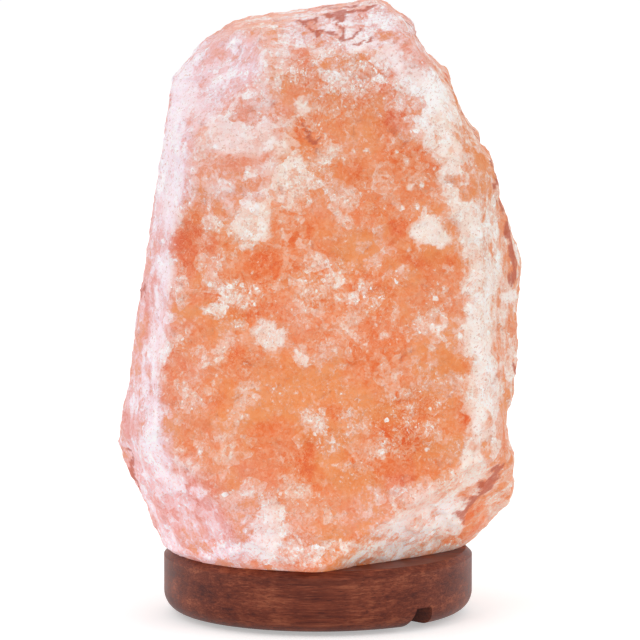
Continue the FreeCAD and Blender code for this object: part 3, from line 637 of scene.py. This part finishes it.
# Pink places
PINK_PATCHES = {
    "upper_left": ((222, 130), 60, 90, 0.40),
    "crown": ((350, 28), 70, 26, 0.35),
    "right_crown": ((405, 90), 30, 50, 0.30),
    "lower_left": ((200, 510), 70, 60, 0.15),
    "left_low": ((150, 450), 26, 70, 0.45),
    "low_right": ((400, 510), 60, 36, 0.18),
}

# Even pale plates, and how likely they are
PLATES = {
    "lilac_shoulder": ((184, 92), 17, 24, 0.8),
    "brow": ((252, 143), 50, 18, 0.35),
    "upper_left": ((232, 150), 62, 92, 0.25),
    "field": ((254, 222), 22, 21, 0.35),
    "field_right": ((296, 228), 10, 13, 0.35),
    "hexagon": ((427, 236), 20, 16, 1.0),
    "flake_left": ((328, 33), 11, 7, 0.9),
    "flake_right": ((349, 36), 6, 5, 0.9),
    "flake_high": ((302, 110), 9, 9, 0.7),
    "crown_left": ((262, 40), 34, 14, 0.4),
    "column": ((268, 528), 12, 26, 0.7),
    "right_foot": ((428, 512), 36, 26, 0.5),
    "edge": ((510, 297), 9, 7, 0.8),
}

# Places crushed to a coarse grain
CRUSHED_PATCHES = {
    "crown": ((345, 30), 70, 26, 0.6),
    "splinters": ((335, 80), 50, 22, 0.8),
    "below_splinters": ((385, 105), 30, 20, 0.4),
    "middle": ((350, 290), 45, 30, 0.5),
    "cluster": ((242, 300), 34, 24, 0.4),
    "sugar": ((405, 420), 38, 32, 0.8),
    "sugar_left": ((335, 410), 26, 30, 0.4),
    "foot": ((320, 545), 140, 20, 0.5),
    "brow": ((285, 130), 30, 14, 0.4),
}

# Warmer places of the clear salt, and paler ones below zero
WARM_PATCHES = {
    "orange_triangle": ((300, 138), 12, 18, 0.30),
    "orange_left": ((236, 97), 18, 16, 0.22),
    "orange_spot": ((297, 38), 7, 6, 0.35),
    "diagonal_high": ((392, 125), 12, 16, 0.30),
    "diagonal": ((418, 165), 28, 15, 0.28),
    "pillar": ((344, 178), 12, 20, 0.26),
    "beside_hexagon": ((396, 246), 15, 22, 0.38),
    "below_hexagon": ((430, 262), 22, 9, 0.30),
    "field_left": ((205, 240), 26, 36, 0.28),
    "tongue": ((305, 238), 9, 18, 0.30),
    "river": ((285, 266), 45, 10, 0.24),
    "scar": ((240, 316), 22, 4, 0.32),
    "fold": ((450, 358), 12, 20, 0.24),
    "heart": ((398, 420), 20, 22, 0.24),
    "root": ((308, 455), 9, 34, 0.32),
    "post": ((465, 410), 5, 15, 0.40),
    "shoulder_band": ((451, 90), 8, 20, 0.25),
    "flank_band": ((481, 150), 9, 22, 0.25),
    "crown_orange": ((384, 39), 12, 5, 0.35),
    "nook": ((475, 445), 8, 6, 0.30),
    "disc": ((226, 350), 14, 14, 0.12),
    "pale_top_left": ((230, 60), 50, 30, -0.12),
    "pale_bottom": ((320, 520), 150, 40, -0.22),
    "pale_bottom_left": ((190, 520), 50, 50, 0.10),
}

# Painted shade: dark lines in the cracks and along the rims
PAINTED_SHADE_LINES = {
    "crescent": (((494, 470), (478, 484), (467, 500), (463, 514)), 4.5),
    "crown_arc": (
        ((301, 23), (311, 39), (319, 42), (325, 38), (333, 38), (341, 46), (352, 45), (359, 36)), 1.8),
    "crown_left": (((296, 20), (306, 27), (316, 22), (325, 13)), 1.8),
    "crown_top": (((326, 12), (337, 15), (347, 20), (354, 12)), 3.5),
    "crown_middle": (((341, 46), (344, 34), (338, 26), (343, 20)), 1.6),
    "crown_low": (((352, 45), (364, 50), (372, 44)), 1.6),
    "triangle": (((299, 128), (303, 140), (312, 150), (318, 140)), 1.6),
    "crown_right": (((330, 8), (350, 8), (372, 12)), 2.5),
    "shoulder_rim": (((401, 11), (418, 41), (449, 71), (461, 97), (473, 126), (490, 152), (497, 186)), 1.8),
    "right_flank": (((500, 200), (508, 240), (511, 285)), 3),
    "left_rim": (((147, 225), (143, 262), (140, 300)), 2),
    "flank_nick": (((511, 366), (514, 384)), 3),
    "left_low_rim": (((131, 455), (137, 480), (143, 505), (149, 520)), 2),
}


def line_distance(places, line):
    """How far each place is from a line of pixels."""
    corners = [photo_place(pixel) for pixel in line]
    best = np.full(len(places), np.inf)
    for start, end in zip(corners, corners[1:]):
        way = end - start
        share = np.clip((places - start) @ way / (way @ way), 0, 1)
        best = np.minimum(best, np.linalg.norm(places - start - share[:, None] * way, axis=1))
    return best


def patch_sum(places, patches):
    """Add up soft-edged oval patches."""
    total = np.zeros(len(places))
    for centre, half_width, half_height, change in patches.values():
        away = (places - photo_place(centre)) / (np.array((half_width, half_height)) * PIXEL_MM)
        total += change * step(1.16, 0.84, np.hypot(away[:, 0], away[:, 1]))
    return total


def line_sum(places, lines):
    """The strongest of soft-edged lines."""
    total = np.zeros(len(places))
    for line, half_width in lines.values():
        away = line_distance(places, line) / (half_width * PIXEL_MM)
        total = np.maximum(total, step(1.5, 0.5, away))
    return total


def colour_rock(mesh, points, rough):
    """Write the fields that the rock's material reads."""
    for name, values in rock_fields(points, normals(mesh), edges(mesh), rough).items():
        attribute = mesh.attributes.new(name, "FLOAT", "POINT")
        attribute.data.foreach_set("value", values.astype(np.float32))


def rock_fields(points, outward, links, rough):
    """Where the rock is warm, frosted, pink, crushed, plated and streaked, and its painted shade and glow.
    """
    turn = smoothed(outward, links, rounds=70)
    turn /= np.linalg.norm(turn, axis=1)[:, None]
    bulge = np.einsum("ij,ij->i", points - smoothed(points, links, rounds=14), outward)
    hollow = np.einsum("ij,ij->i", points - smoothed(points, links, rounds=4), outward)
    places = seen_place(points) + wobble(points)
    front = step(-0.12, 0.25, -outward[:, 1])

    def painted(patches):
        return front * patch_sum(places, patches)

    height = points[:, 2]
    under = step(0.05, 0.6, -turn[:, 2])
    # Painted glow: there is no light inside, so the salt round the bulb is made to look lit
    glow = step(*LAMP_REACH, np.linalg.norm((points - ROCK_LAMP) * (1, 1, 0.72), axis=1))
    ridge = front * line_sum(places, PALE_RIDGES) * np.clip(0.85 + 0.5 * clouds(points, 15, 19), 0.2, 1.2)
    # Painted light: the left-facing side is painted pinker, as cool light falling from the left
    pink = step(0.25, 0.95, -turn[:, 0]) + 0.35 * step(200, 240, height) + painted(PINK_PATCHES)
    pink += 0.7 * step(70, 34, height) * step(15, -40, points[:, 0]) + 0.15 * clouds(points, 20, 17)
    pink = np.clip(pink, 0, 1)
    frost = 0.30 + 0.10 * clouds(points, 30, 9) + 0.25 * step(0.3, 1.3, bulge) * rough
    frost += painted(FROST_PATCHES) + 0.50 * ridge + 0.10 * step(60, 28, height)
    # Painted light: the right-facing side is painted paler, as light falling from the right
    frost += 0.04 * pink + 0.16 * step(0.3, 0.9, turn[:, 0])
    # Painted light: the salt near the bulb is a deeper orange
    warmth = 0.42 + 0.20 * glow + 0.20 * clouds(points, 24, 8) - 0.12 * pink + painted(WARM_PATCHES)
    crushed = 0.12 + 0.22 * clouds(points, 18, 18) + painted(CRUSHED_PATCHES)
    plate = 0.08 + 0.25 * clouds(points, 16, 20) + 0.5 * ridge + painted(PLATES)
    # Painted shade: dark lines in the cracks and along the rims, and darker hollows
    painted_crevice_shade = 1.1 * front * line_sum(places, PAINTED_SHADE_LINES) + 0.55 * step(0.12, 0.45, -hollow)
    drag = step(0.25, 0.8, np.abs(turn[:, 0])) + 0.6 * ridge - under
    return {
        "warmth": warmth,
        "frost": frost,
        "pink": pink,
        "crushed": np.clip(crushed, 0, 1),
        "plate": np.clip(plate, 0, 1),
        "painted_crevice_shade": np.clip(painted_crevice_shade, 0, 1) * rough,
        "drag": np.clip(drag, 0, 1),
        # Painted light: emission round the bulb, towards the bottom and on the downward-facing faces,
        # lifting their shade
        "glow": glow + 0.25 * step(80, 30, height) + under,
    }


def wobble(points):
    """How far the painted patches' edges stray, across and up."""
    fine = np.stack((clouds(points, 6, 5), clouds(points, 6, 6)), -1)
    broad = np.stack((clouds(points, 16, 15), clouds(points, 16, 16)), -1)
    return 1.6 * fine + 2.6 * broad


def make_rock(frame, materials):
    low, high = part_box("salt_crystal")
    block = frame["nodes"]["salt_crystal"].data.copy()
    mesh = modified("rock", block, "REMESH", mode="VOXEL", voxel_size=ROCK_VOXEL * MM)
    points, rough = shape_rock(mesh, low / MM, high / MM)
    colour_rock(mesh, points, rough)
    mesh.shade_smooth()
    piece("rock", mesh, "salt_crystal", "lamp_body", node_slots(frame["record"]), materials)


# ---- turned, threaded and drawn pieces

SHARP_ANGLE = math.radians(26)
SCREW_TURNS = (43, 133, 223)
SCREW_CIRCLE = 34
FOOT_TURNS = (-2, 88, 178, 268)
FOOT_CIRCLE = 38
# Levels of the holder and the bulb, in millimetres
HEAD_LEVEL = 11.5
CHAMBER_TOP = 22.4
SHELL_TOP = 37.4
BULB_FOOT = 23.8
INSULATOR_TOP = 26.25
CAP_TOP = 39.25
GLASS_START = 40.85
NECK_FOOT = 30.25
STEM_TOP = 49.25
FILAMENT_LEVEL = 61.25
FILAMENT_BOW = 5
GLASS_TOP = 77.85
# The candelabra thread: its pitch and half its depth
BULB_PITCH = 2.54
BULB_WAVE = 0.18


def eased(corners, size):
    """Round each corner of an outline by about a size, but leave those on the axis."""
    count = len(corners)
    places = [np.array(corner, float) for corner in corners]
    outline = []
    for number, here in enumerate(places):
        if here[0] == 0:
            outline.append(tuple(here))
            continue
        before = places[number - 1] - here
        after = places[(number + 1) % count] - here
        reach = min(size, 0.4 * np.linalg.norm(before), 0.4 * np.linalg.norm(after))
        first = here + before / np.linalg.norm(before) * reach
        last = here + after / np.linalg.norm(after) * reach
        outline += [tuple(first), tuple(0.25 * first + 0.5 * here + 0.25 * last), tuple(last)]
    return outline


def stepped(corners, spacing, closed=True):
    """Divide an outline's long straight runs, so that a thread can follow them."""
    places = [np.array(corner, float) for corner in corners]
    ends = places[1:] + places[:1] if closed else places[1:]
    outline = []
    for start, end in zip(places, ends):
        count = max(1, math.ceil(abs(end[1] - start[1]) / spacing))
        outline += [tuple(start + (end - start) * part / count) for part in range(count)]
    return outline if closed else outline + [tuple(places[-1])]


def screw_wave(low, high, pitch, depth, sharp=False, least=0.0, most=math.inf):
    """A right-hand thread between two radii: how far it stands out at a height and direction."""
    def wave(radius, height, turns):
        if not least < radius < most:
            return 0 * turns
        phase = height / pitch - turns / math.tau
        fade = float(step(low, low + 0.6, height) * step(high, high - 0.6, height))
        if sharp:
            return -depth * fade * (1 - np.abs(2 * (phase % 1) - 1))
        return depth * fade * np.sin(math.tau * phase)
    return wave


def ribs(low, high, count, depth, least_radius):
    """Upright grip ribs round the outside of a piece."""
    def wave(radius, height, turns):
        inside = radius >= least_radius and low <= height <= high
        return -depth * (0.5 - 0.5 * np.cos(count * turns)) ** 3 if inside else 0 * turns
    return wave


def turned(corners, closed=True, segments=72, waves=()):
    """Corners and faces of an outline of (radius, height) turned about +Z."""
    turns = np.arange(segments) * math.tau / segments
    rows = []
    for radius, height in corners:
        radii = np.full(segments, float(radius))
        if radius > 0:
            radii += sum((wave(radius, height, turns) for wave in waves), 0 * turns)
        rows.append(np.stack((radii * np.cos(turns), radii * np.sin(turns), np.full(segments, height)), -1))
    return np.concatenate(rows), woven(len(rows), segments, closed)


def woven(rows, across, closed):
    """Quads over rows of corners that each go round; closed joins the last row to the first."""
    faces = []
    for row in range(rows if closed else rows - 1):
        after = (row + 1) % rows
        for place in range(across):
            beside = (place + 1) % across
            faces.append((row * across + place, row * across + beside,
                          after * across + beside, after * across + place))
    return faces


def drawn(path, radius, sides):
    """Corners and faces of a round wire along a path, closed at its ends."""
    path = np.array(path, float)
    along = np.gradient(path, axis=0)
    along /= np.linalg.norm(along, axis=1)[:, None]
    side = np.cross(along[0], (0.3, 0.9, 0.2))
    turns = np.arange(sides) * math.tau / sides
    rows = [np.repeat(path[:1], sides, axis=0)]
    for place, way in zip(path, along):
        side = side - way * (side @ way)
        side /= np.linalg.norm(side)
        other = np.cross(way, side)
        rows.append(place + radius * (np.cos(turns)[:, None] * side + np.sin(turns)[:, None] * other))
    rows.append(np.repeat(path[-1:], sides, axis=0))
    return np.concatenate(rows), woven(len(rows), sides, False)


def bent_line(corners, spacing=0.3):
    """A smooth line through corners."""
    corners = [np.array(corner, float) for corner in corners]
    corners = [2 * corners[0] - corners[1]] + corners + [2 * corners[-1] - corners[-2]]
    line = []
    for before, start, end, after in zip(corners, corners[1:], corners[2:], corners[3:]):
        count = max(2, math.ceil(np.linalg.norm(end - start) / spacing))
        for share in np.arange(count) / count:
            line.append(0.5 * (2 * start + (end - before) * share
                               + (2 * before - 5 * start + 4 * end - after) * share ** 2
                               + (3 * start - before - 3 * end + after) * share ** 3))
    return line + [corners[-2]]


def joined(forms):
    """Several sets of corners and faces as one."""
    corners, faces, start = [], [], 0
    for form_corners, form_faces in forms:
        corners.append(form_corners)
        faces += [tuple(start + number for number in face) for face in form_faces]
        start += len(form_corners)
    return np.concatenate(corners), faces


def spread(form, circle, turns):
    """Copies of a form round the lamp's axis."""
    corners, faces = form
    copies = []
    for turn in turns:
        angle = math.radians(turn)
        away = circle * np.array((math.cos(angle), math.sin(angle), 0))
        copies.append((corners + away, faces))
    return joined(copies)


def formed(name, form):
    """A mesh of a form, with its doubled corners merged and its faces turned outwards."""
    corners, faces = form
    mesh = bpy.data.meshes.new(name)
    mesh.from_pydata([tuple(corner * MM) for corner in corners], [], faces)
    shell = bmesh.new()
    shell.from_mesh(mesh)
    bmesh.ops.remove_doubles(shell, verts=shell.verts, dist=1e-7)
    bmesh.ops.dissolve_degenerate(shell, edges=shell.edges, dist=1e-7)
    bmesh.ops.recalc_face_normals(shell, faces=shell.faces)
    shell.to_mesh(mesh)
    shell.free()
    mesh.shade_smooth()
    mesh.set_sharp_from_angle(angle=SHARP_ANGLE)
    return mesh


def piece(name, mesh, node, body, slots, materials):
    """A finished piece that stands for a CAD node and takes that node's material."""
    mesh.materials.clear()
    mesh.materials.append(materials[slots[node]])
    obj = add_object(name, mesh)
    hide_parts(node)
    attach(obj, body)


# ---- the base's small pieces

def foot_form():
    """A soft pad with a rounded edge and a shallow dimple below."""
    outline = ((0, 0.35), (3.4, 0.35), (3.8, 0.0), (5.0, 0.0), (5.5, 0.5), (5.3, 1.5), (0, 1.5))
    return turned(eased(outline, 0.25), closed=False, segments=48)


def screw_mesh():
    """A countersunk wood screw, head down, with a cross recess."""
    head, neck, tip = HEAD_LEVEL, HEAD_LEVEL + 2.3, HEAD_LEVEL + 37
    shank = ((0, head), (3.8, head), (4.0, head + 0.3), (2.0, neck), (2.0, tip - 4), (0, tip))
    outline = stepped(eased(shank, 0.15), 0.3, False)
    thread = screw_wave(head + 12, tip - 2, 1.8, 0.45, sharp=True)
    blank = formed("screw_blank", turned(outline, closed=False, segments=32, waves=(thread,)))
    cutter = add_object("recess", formed("recess", recess_form(head)))
    mesh = modified("screw", blank, "BOOLEAN", object=cutter, solver="EXACT")
    bpy.data.objects.remove(cutter)
    return mesh


def recess_form(level):
    """A cross that narrows upwards."""
    corners = []
    for height, reach, half in ((level - 0.5, 2.3, 0.42), (level + 1.9, 0.7, 0.30)):
        for turn in range(4):
            way = np.array((math.cos(turn * math.pi / 2), math.sin(turn * math.pi / 2), 0))
            side = np.array((-way[1], way[0], 0))
            level_place = np.array((0, 0, height))
            corners += [level_place + way * reach - side * half, level_place + way * reach + side * half,
                        level_place + way * half + side * half]
    return np.array(corners), woven(2, 12, False) + [tuple(range(12)), tuple(range(12, 24))]


def plug_form():
    """A barbed sleeve, closed above the screw's point."""
    barbs = []
    for level in range(28, 50, 2):
        barbs += [(4.0, level), (3.5, level + 0.4), (3.6, level + 1.6)]
    outline = [(2.05, 26.5), (4.0, 26.5)] + barbs + [(3.4, 51.5), (0, 51.5), (0, 50.2), (2.05, 48.6)]
    return turned(outline, segments=32)


# ---- the holder

def ring_nut_form():
    """A threaded ring with twelve thumb scallops."""
    def scallops(radius, height, turns):
        if radius < 14:
            return 0 * turns
        share = math.tau / 12
        offset = (turns + share / 2) % share - share / 2
        circle, bite = 15.1, 1.2
        inside = np.maximum(bite ** 2 - (circle * np.sin(offset)) ** 2, 0)
        edge = circle * np.cos(offset) - np.sqrt(inside)
        return np.where(inside > 0, np.minimum(edge - radius, 0), 0)
    outline = eased(((11.2, 18.4), (14.5, 18.4), (14.5, 21.9), (11.2, 21.9)), 0.4)
    thread = screw_wave(18, 22.3, 1.5, 0.12, most=12)
    return turned(stepped(outline, 0.25), segments=144, waves=(scallops, thread))


def holder_body_form():
    """The barrel with its outside thread, the flange with fine notches, and the chamber below."""
    outline = eased(((9.2, 11.4), (11, 11.4), (11, 15.4), (14, 15.4), (14, 17.6), (11, 17.6), (11, 40.4),
                     (6.7, 40.4), (6.7, CHAMBER_TOP), (9.2, CHAMBER_TOP)), 0.35)
    thread = screw_wave(18.6, 39.9, 1.5, 0.34, sharp=True, least=10, most=12)
    return turned(stepped(outline, 0.25), segments=96, waves=(ribs(15.8, 17.2, 48, 0.25, 13), thread))


def holder_cap_form():
    """The ribbed cup with its cord collar and the spigot inside."""
    outline = eased(((3.1, 6.4), (5.5, 6.4), (5.5, 8.9), (12.5, 8.9), (13.56, 9.34), (14, 10.4), (14, 15.4),
                     (11.2, 15.4), (11.2, 10.9), (9.0, 10.9), (9.0, 18.9), (8.1, 18.9), (8.1, 10.9),
                     (3.1, 10.9)), 0.3)
    return turned(stepped(outline, 0.6), segments=240, waves=(ribs(10.6, 14.9, 40, 0.35, 13.5),))


def screw_shell_form():
    """A thin threaded sleeve with an inturned lip and a lightly flared mouth."""
    middle, sheet = 5.98, 0.4
    outline = ((3.9, CHAMBER_TOP), (middle + sheet, CHAMBER_TOP), (middle + sheet, SHELL_TOP),
               (middle, SHELL_TOP), (middle, CHAMBER_TOP + sheet), (3.9, CHAMBER_TOP + sheet))
    thread = screw_wave(CHAMBER_TOP + 0.8, SHELL_TOP - 0.3, BULB_PITCH, BULB_WAVE)
    return turned(stepped(eased(outline, 0.15), 0.2), waves=(thread,))


# ---- the bulb

def bulb_tip_form():
    """A blob of solder, a little uneven."""
    def uneven(radius, height, turns):
        return 0.04 * np.sin(3 * turns + 4 * height) * (height < 24.5)
    outline = ((0, BULB_FOOT), (1.0, 23.83), (1.7, 24.0), (2.15, 24.3), (2.25, 24.7), (0, 24.7))
    return turned(eased(outline, 0.2), closed=False, segments=36, waves=(uneven,))


def insulator_form():
    """The fused glass cone, with two raised rings round the end contact."""
    outline = ((2.35, 24.25), (2.9, 24.25), (3.3, 24.75), (3.45, 24.65), (3.7, 25.05), (4.1, 25.45),
               (4.25, 25.4), (4.9, INSULATOR_TOP), (0.6, INSULATOR_TOP), (0.6, 24.75), (2.35, 24.75))
    return turned(eased(outline, 0.15), segments=60)


def bulb_cap_form():
    """The threaded metal cap, which flares towards the glass."""
    middle, sheet = 5.75, 0.3
    outline = ((4.6, INSULATOR_TOP), (4.9, INSULATOR_TOP), (middle, INSULATOR_TOP + 1), (middle, CAP_TOP),
               (6.4, GLASS_START), (6.1, GLASS_START), (middle - sheet, CAP_TOP),
               (middle - sheet, INSULATOR_TOP + 1.3), (4.6, INSULATOR_TOP + 0.3))
    return turned(stepped(eased(outline, 0.2), 0.2), waves=(cap_thread(),))


def cap_thread(least=0.0):
    return screw_wave(INSULATOR_TOP + 1.2, CAP_TOP - 1, BULB_PITCH, BULB_WAVE, least=least)


def glass_form():
    """The clear envelope: a short neck, a full round shoulder and a domed crown, with a thin wall."""
    widest, crown_foot, wall = 11, 67.4, 0.6
    side = [(5.1, NECK_FOOT)] + bent_line((
        (5.1, 38), (5.1, 41), (5.9, 44), (8.0, 47.6), (9.9, 51.5), (10.8, 56), (widest, 61),
        (widest, crown_foot)), 0.8)

    def surface(inset):
        crown = [((widest - inset) * math.cos(turn),
                  crown_foot + (GLASS_TOP - inset - crown_foot) * math.sin(turn))
                 for turn in np.linspace(0.08, math.pi / 2, 14)[:-1]]
        return [(radius - inset, height) for radius, height in side] + crown + [(0, GLASS_TOP - inset)]
    return turned(surface(0)[::-1] + surface(wall), closed=False)


def stem_form():
    """The inner stem: a flared foot, a tube, and a pinch that is pressed flat round the wires."""
    def pinch(radius, height, turns):
        press = float(step(39, 43.5, height)) * min(radius / 1.6, 1)
        return press * (0.55 * np.cos(turns) ** 2 - 0.6 * np.sin(turns) ** 2)
    outline = [(0, NECK_FOOT)]
    outline += [tuple(place) for place in bent_line(((4.4, NECK_FOOT), (3.0, 31.3), (1.9, 33.2), (1.6, 37),
                                                     (1.6, 43), (1.6, STEM_TOP - 0.8)), 0.7)]
    outline += [(1.4, STEM_TOP - 0.2), (1.0, STEM_TOP), (0, STEM_TOP)]
    return turned(outline, closed=False, segments=48, waves=(pinch,))


def lead_form():
    """Two stiff wires that lean apart and end in hooks round the filament's ends."""
    wires = []
    for side in (-1, 1):
        path = bent_line((
            (0.8 * side, 0, 41), (0.8 * side, 0, 47), (0.9 * side, 0, 50), (2.3 * side, 0, 54),
            (4.2 * side, 0, 59), (4.85 * side, 0, 61.0), (5.15 * side, 0.1, 61.55),
            (5.45 * side, 0.15, 61.1), (5.25 * side, 0.1, 60.7),
        ))
        wires.append(drawn(path, 0.3, 10))
    return joined(wires)


def filament_form():
    """A fine coil bowed between the leads."""
    count, width = 70, 0.24
    share = np.linspace(0, 1, count * 10)
    bow = math.pi * share
    coil = share * count * math.tau
    reach = FILAMENT_BOW + width * np.cos(coil)
    path = np.stack((-reach * np.cos(bow), width * np.sin(coil), FILAMENT_LEVEL + reach * np.sin(bow)), -1)
    return drawn(path, 0.06, 6)


def support_form():
    """A thin wire up from the stem, with a small eye round the filament."""
    top = FILAMENT_LEVEL + FILAMENT_BOW
    loop, pitch = 0.34, 0.12
    eye = [(loop * math.sin(turn), pitch * turn / math.tau, top - loop * math.cos(turn))
           for turn in np.linspace(0, 1.7 * math.pi, 12)]
    stalk = [(0, 0, 46.5), (0, 0, 52), (0.15, 0, 58), (0, 0, top - 0.9)]
    return drawn(bent_line(stalk + eye, 0.12), 0.12, 8)


def cement_form():
    """The baked cement between cap and glass, which fills the thread."""
    outline = ((5.13, CAP_TOP - 7), (5.42, CAP_TOP - 7), (5.42, CAP_TOP), (5.13, CAP_TOP))
    return turned(stepped(outline, 0.2), waves=(cap_thread(5.3),))


def make_small_pieces(frame, materials):
    slots = node_slots(frame["record"])
    lamp, holder, lift, bulb = "lamp_body", "holder", "bulb_lift", "bulb"
    screw = screw_mesh()
    screw_form = (coordinates(screw), [tuple(face.vertices) for face in screw.polygons])
    forms = (
        ("rubber_feet", spread(foot_form(), FOOT_CIRCLE, FOOT_TURNS), "foot_pads", lamp),
        ("wood_screws", spread(screw_form, SCREW_CIRCLE, SCREW_TURNS), "base_screws", lamp),
        ("barbed_plugs", spread(plug_form(), SCREW_CIRCLE, SCREW_TURNS), "screw_plugs", lamp),
        ("threaded_nut", ring_nut_form(), "ring_nut", holder),
        ("threaded_barrel", holder_body_form(), "holder_body", holder),
        ("ribbed_cap", holder_cap_form(), "holder_cap", holder),
        ("threaded_shell", screw_shell_form(), "screw_shell", holder),
        ("solder_tip", bulb_tip_form(), "bulb_tip", lift),
        ("tip_glass", insulator_form(), "bulb_insulator", bulb),
        ("threaded_cap", bulb_cap_form(), "bulb_cap", bulb),
        ("baked_cement", cement_form(), "cap_cement", bulb),
        ("envelope", glass_form(), "bulb_glass", bulb),
        ("pinched_stem", stem_form(), "glass_stem", bulb),
        ("hooked_leads", lead_form(), "lead_wires", bulb),
        ("coiled_filament", filament_form(), "filament", bulb),
        ("support_wire", support_form(), "filament_support", bulb),
    )
    for name, form, node, body in forms:
        piece(name, formed(name, form), node, body, slots, materials)


# ---- carried-over CAD nodes

def dress_frame(frame, materials):
    """Give every CAD node the material that the record names for it."""
    for name, slot in node_slots(frame["record"]).items():
        obj = frame["nodes"][name]
        obj.data.materials.clear()
        obj.data.materials.append(materials[slot])


def node_slots(record):
    """Node name to slot name, from the record."""
    return {row["node"]: row["material_slot"] for row in record["subparts"]}


# ---- stage

def seen_or_mirrored(shade):
    """1 for what the camera sees, straight or in metal and glass, and 0 for light that falls on things."""
    path = shade.add("LightPath")
    seen = shade.total(path.outputs["Is Camera Ray"], path.outputs["Is Glossy Ray"])
    return shade.math("ADD", seen, path.outputs["Is Transmission Ray"], clamp=True)


def make_floor():
    """Pale paint that shows near white and keeps the shadow."""
    shade = new_shader("floor_paint")
    paper = shade.noise(40, shade.place(), detail=2)
    white = shade.mix(paper, srgb(229, 229, 229), srgb(232, 232, 232))
    shade.finish({
        "Base Color": white,
        "Roughness": 0.9,
        "Specular IOR Level": 0.0,
        "Emission Color": (1, 1, 1, 1),
        "Emission Strength": shade.times(seen_or_mirrored(shade), FLOOR_LIFT),
    })
    mesh = bpy.data.meshes.new("floor")
    corners = [(x * FLOOR_REACH, y * FLOOR_REACH, 0) for x, y in ((-1, -1), (1, -1), (1, 1), (-1, 1))]
    mesh.from_pydata(corners, [], [(0, 1, 2, 3)])
    mesh.materials.append(shade.owner)
    add_object("floor", mesh)


def make_world():
    """Even white light, with a plain white background behind."""
    world = bpy.data.worlds.new("studio")
    bpy.context.scene.world = world
    shade = Shader(world, "OutputWorld")
    strength = shade.span(seen_or_mirrored(shade), 0, 1, WORLD_LIGHT, 1)
    shade.finish({"Color": (1, 1, 1, 1), "Strength": strength}, "Background")


def make_lights():
    for name, (place, size, power) in LAMPS.items():
        light = bpy.data.lights.new(name, "AREA")
        light.shape = "DISK"
        light.size = size
        light.energy = power
        obj = add_object(name, light)
        obj.location = place
        obj.rotation_euler = (LAMP_AIM - Vector(place)).to_track_quat("-Z", "Y").to_euler()


def make_camera():
    """At the photograph's angle and scale, on the middle of its frame."""
    middle_x = (PHOTO_SIDE / 2 - PHOTO_AXIS_X) * PIXEL_MM * MM
    middle_z = (PHOTO_FOOT_Y - PHOTO_SIDE / 2) * PIXEL_MM * MM / math.cos(CAMERA_TILT)
    aim = Vector((middle_x, 0, middle_z))
    back = Vector((0, -math.cos(CAMERA_TILT), math.sin(CAMERA_TILT)))
    camera = bpy.data.cameras.new("camera")
    camera.sensor_width = 36
    camera.lens = camera.sensor_width * CAMERA_DISTANCE / (PHOTO_SIDE * PIXEL_MM * MM)
    camera.clip_start = 0.05
    obj = add_object("camera", camera)
    obj.location = aim + back * CAMERA_DISTANCE
    obj.rotation_euler = (-back).to_track_quat("-Z", "Y").to_euler()
    bpy.context.scene.camera = obj


# ---- the whole scene

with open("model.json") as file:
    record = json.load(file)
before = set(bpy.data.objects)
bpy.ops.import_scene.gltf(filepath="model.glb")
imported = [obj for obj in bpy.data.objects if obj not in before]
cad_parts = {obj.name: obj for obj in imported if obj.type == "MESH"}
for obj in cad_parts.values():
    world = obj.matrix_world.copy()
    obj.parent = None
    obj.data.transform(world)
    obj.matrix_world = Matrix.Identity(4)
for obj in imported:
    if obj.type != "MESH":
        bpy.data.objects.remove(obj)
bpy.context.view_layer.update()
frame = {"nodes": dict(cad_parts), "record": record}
bpy.context.scene.view_settings.view_transform = "Standard"
make_camera()
make_world()
make_lights()
make_floor()
materials = make_materials()
dress_frame(frame, materials)
make_rock(frame, materials)
make_small_pieces(frame, materials)
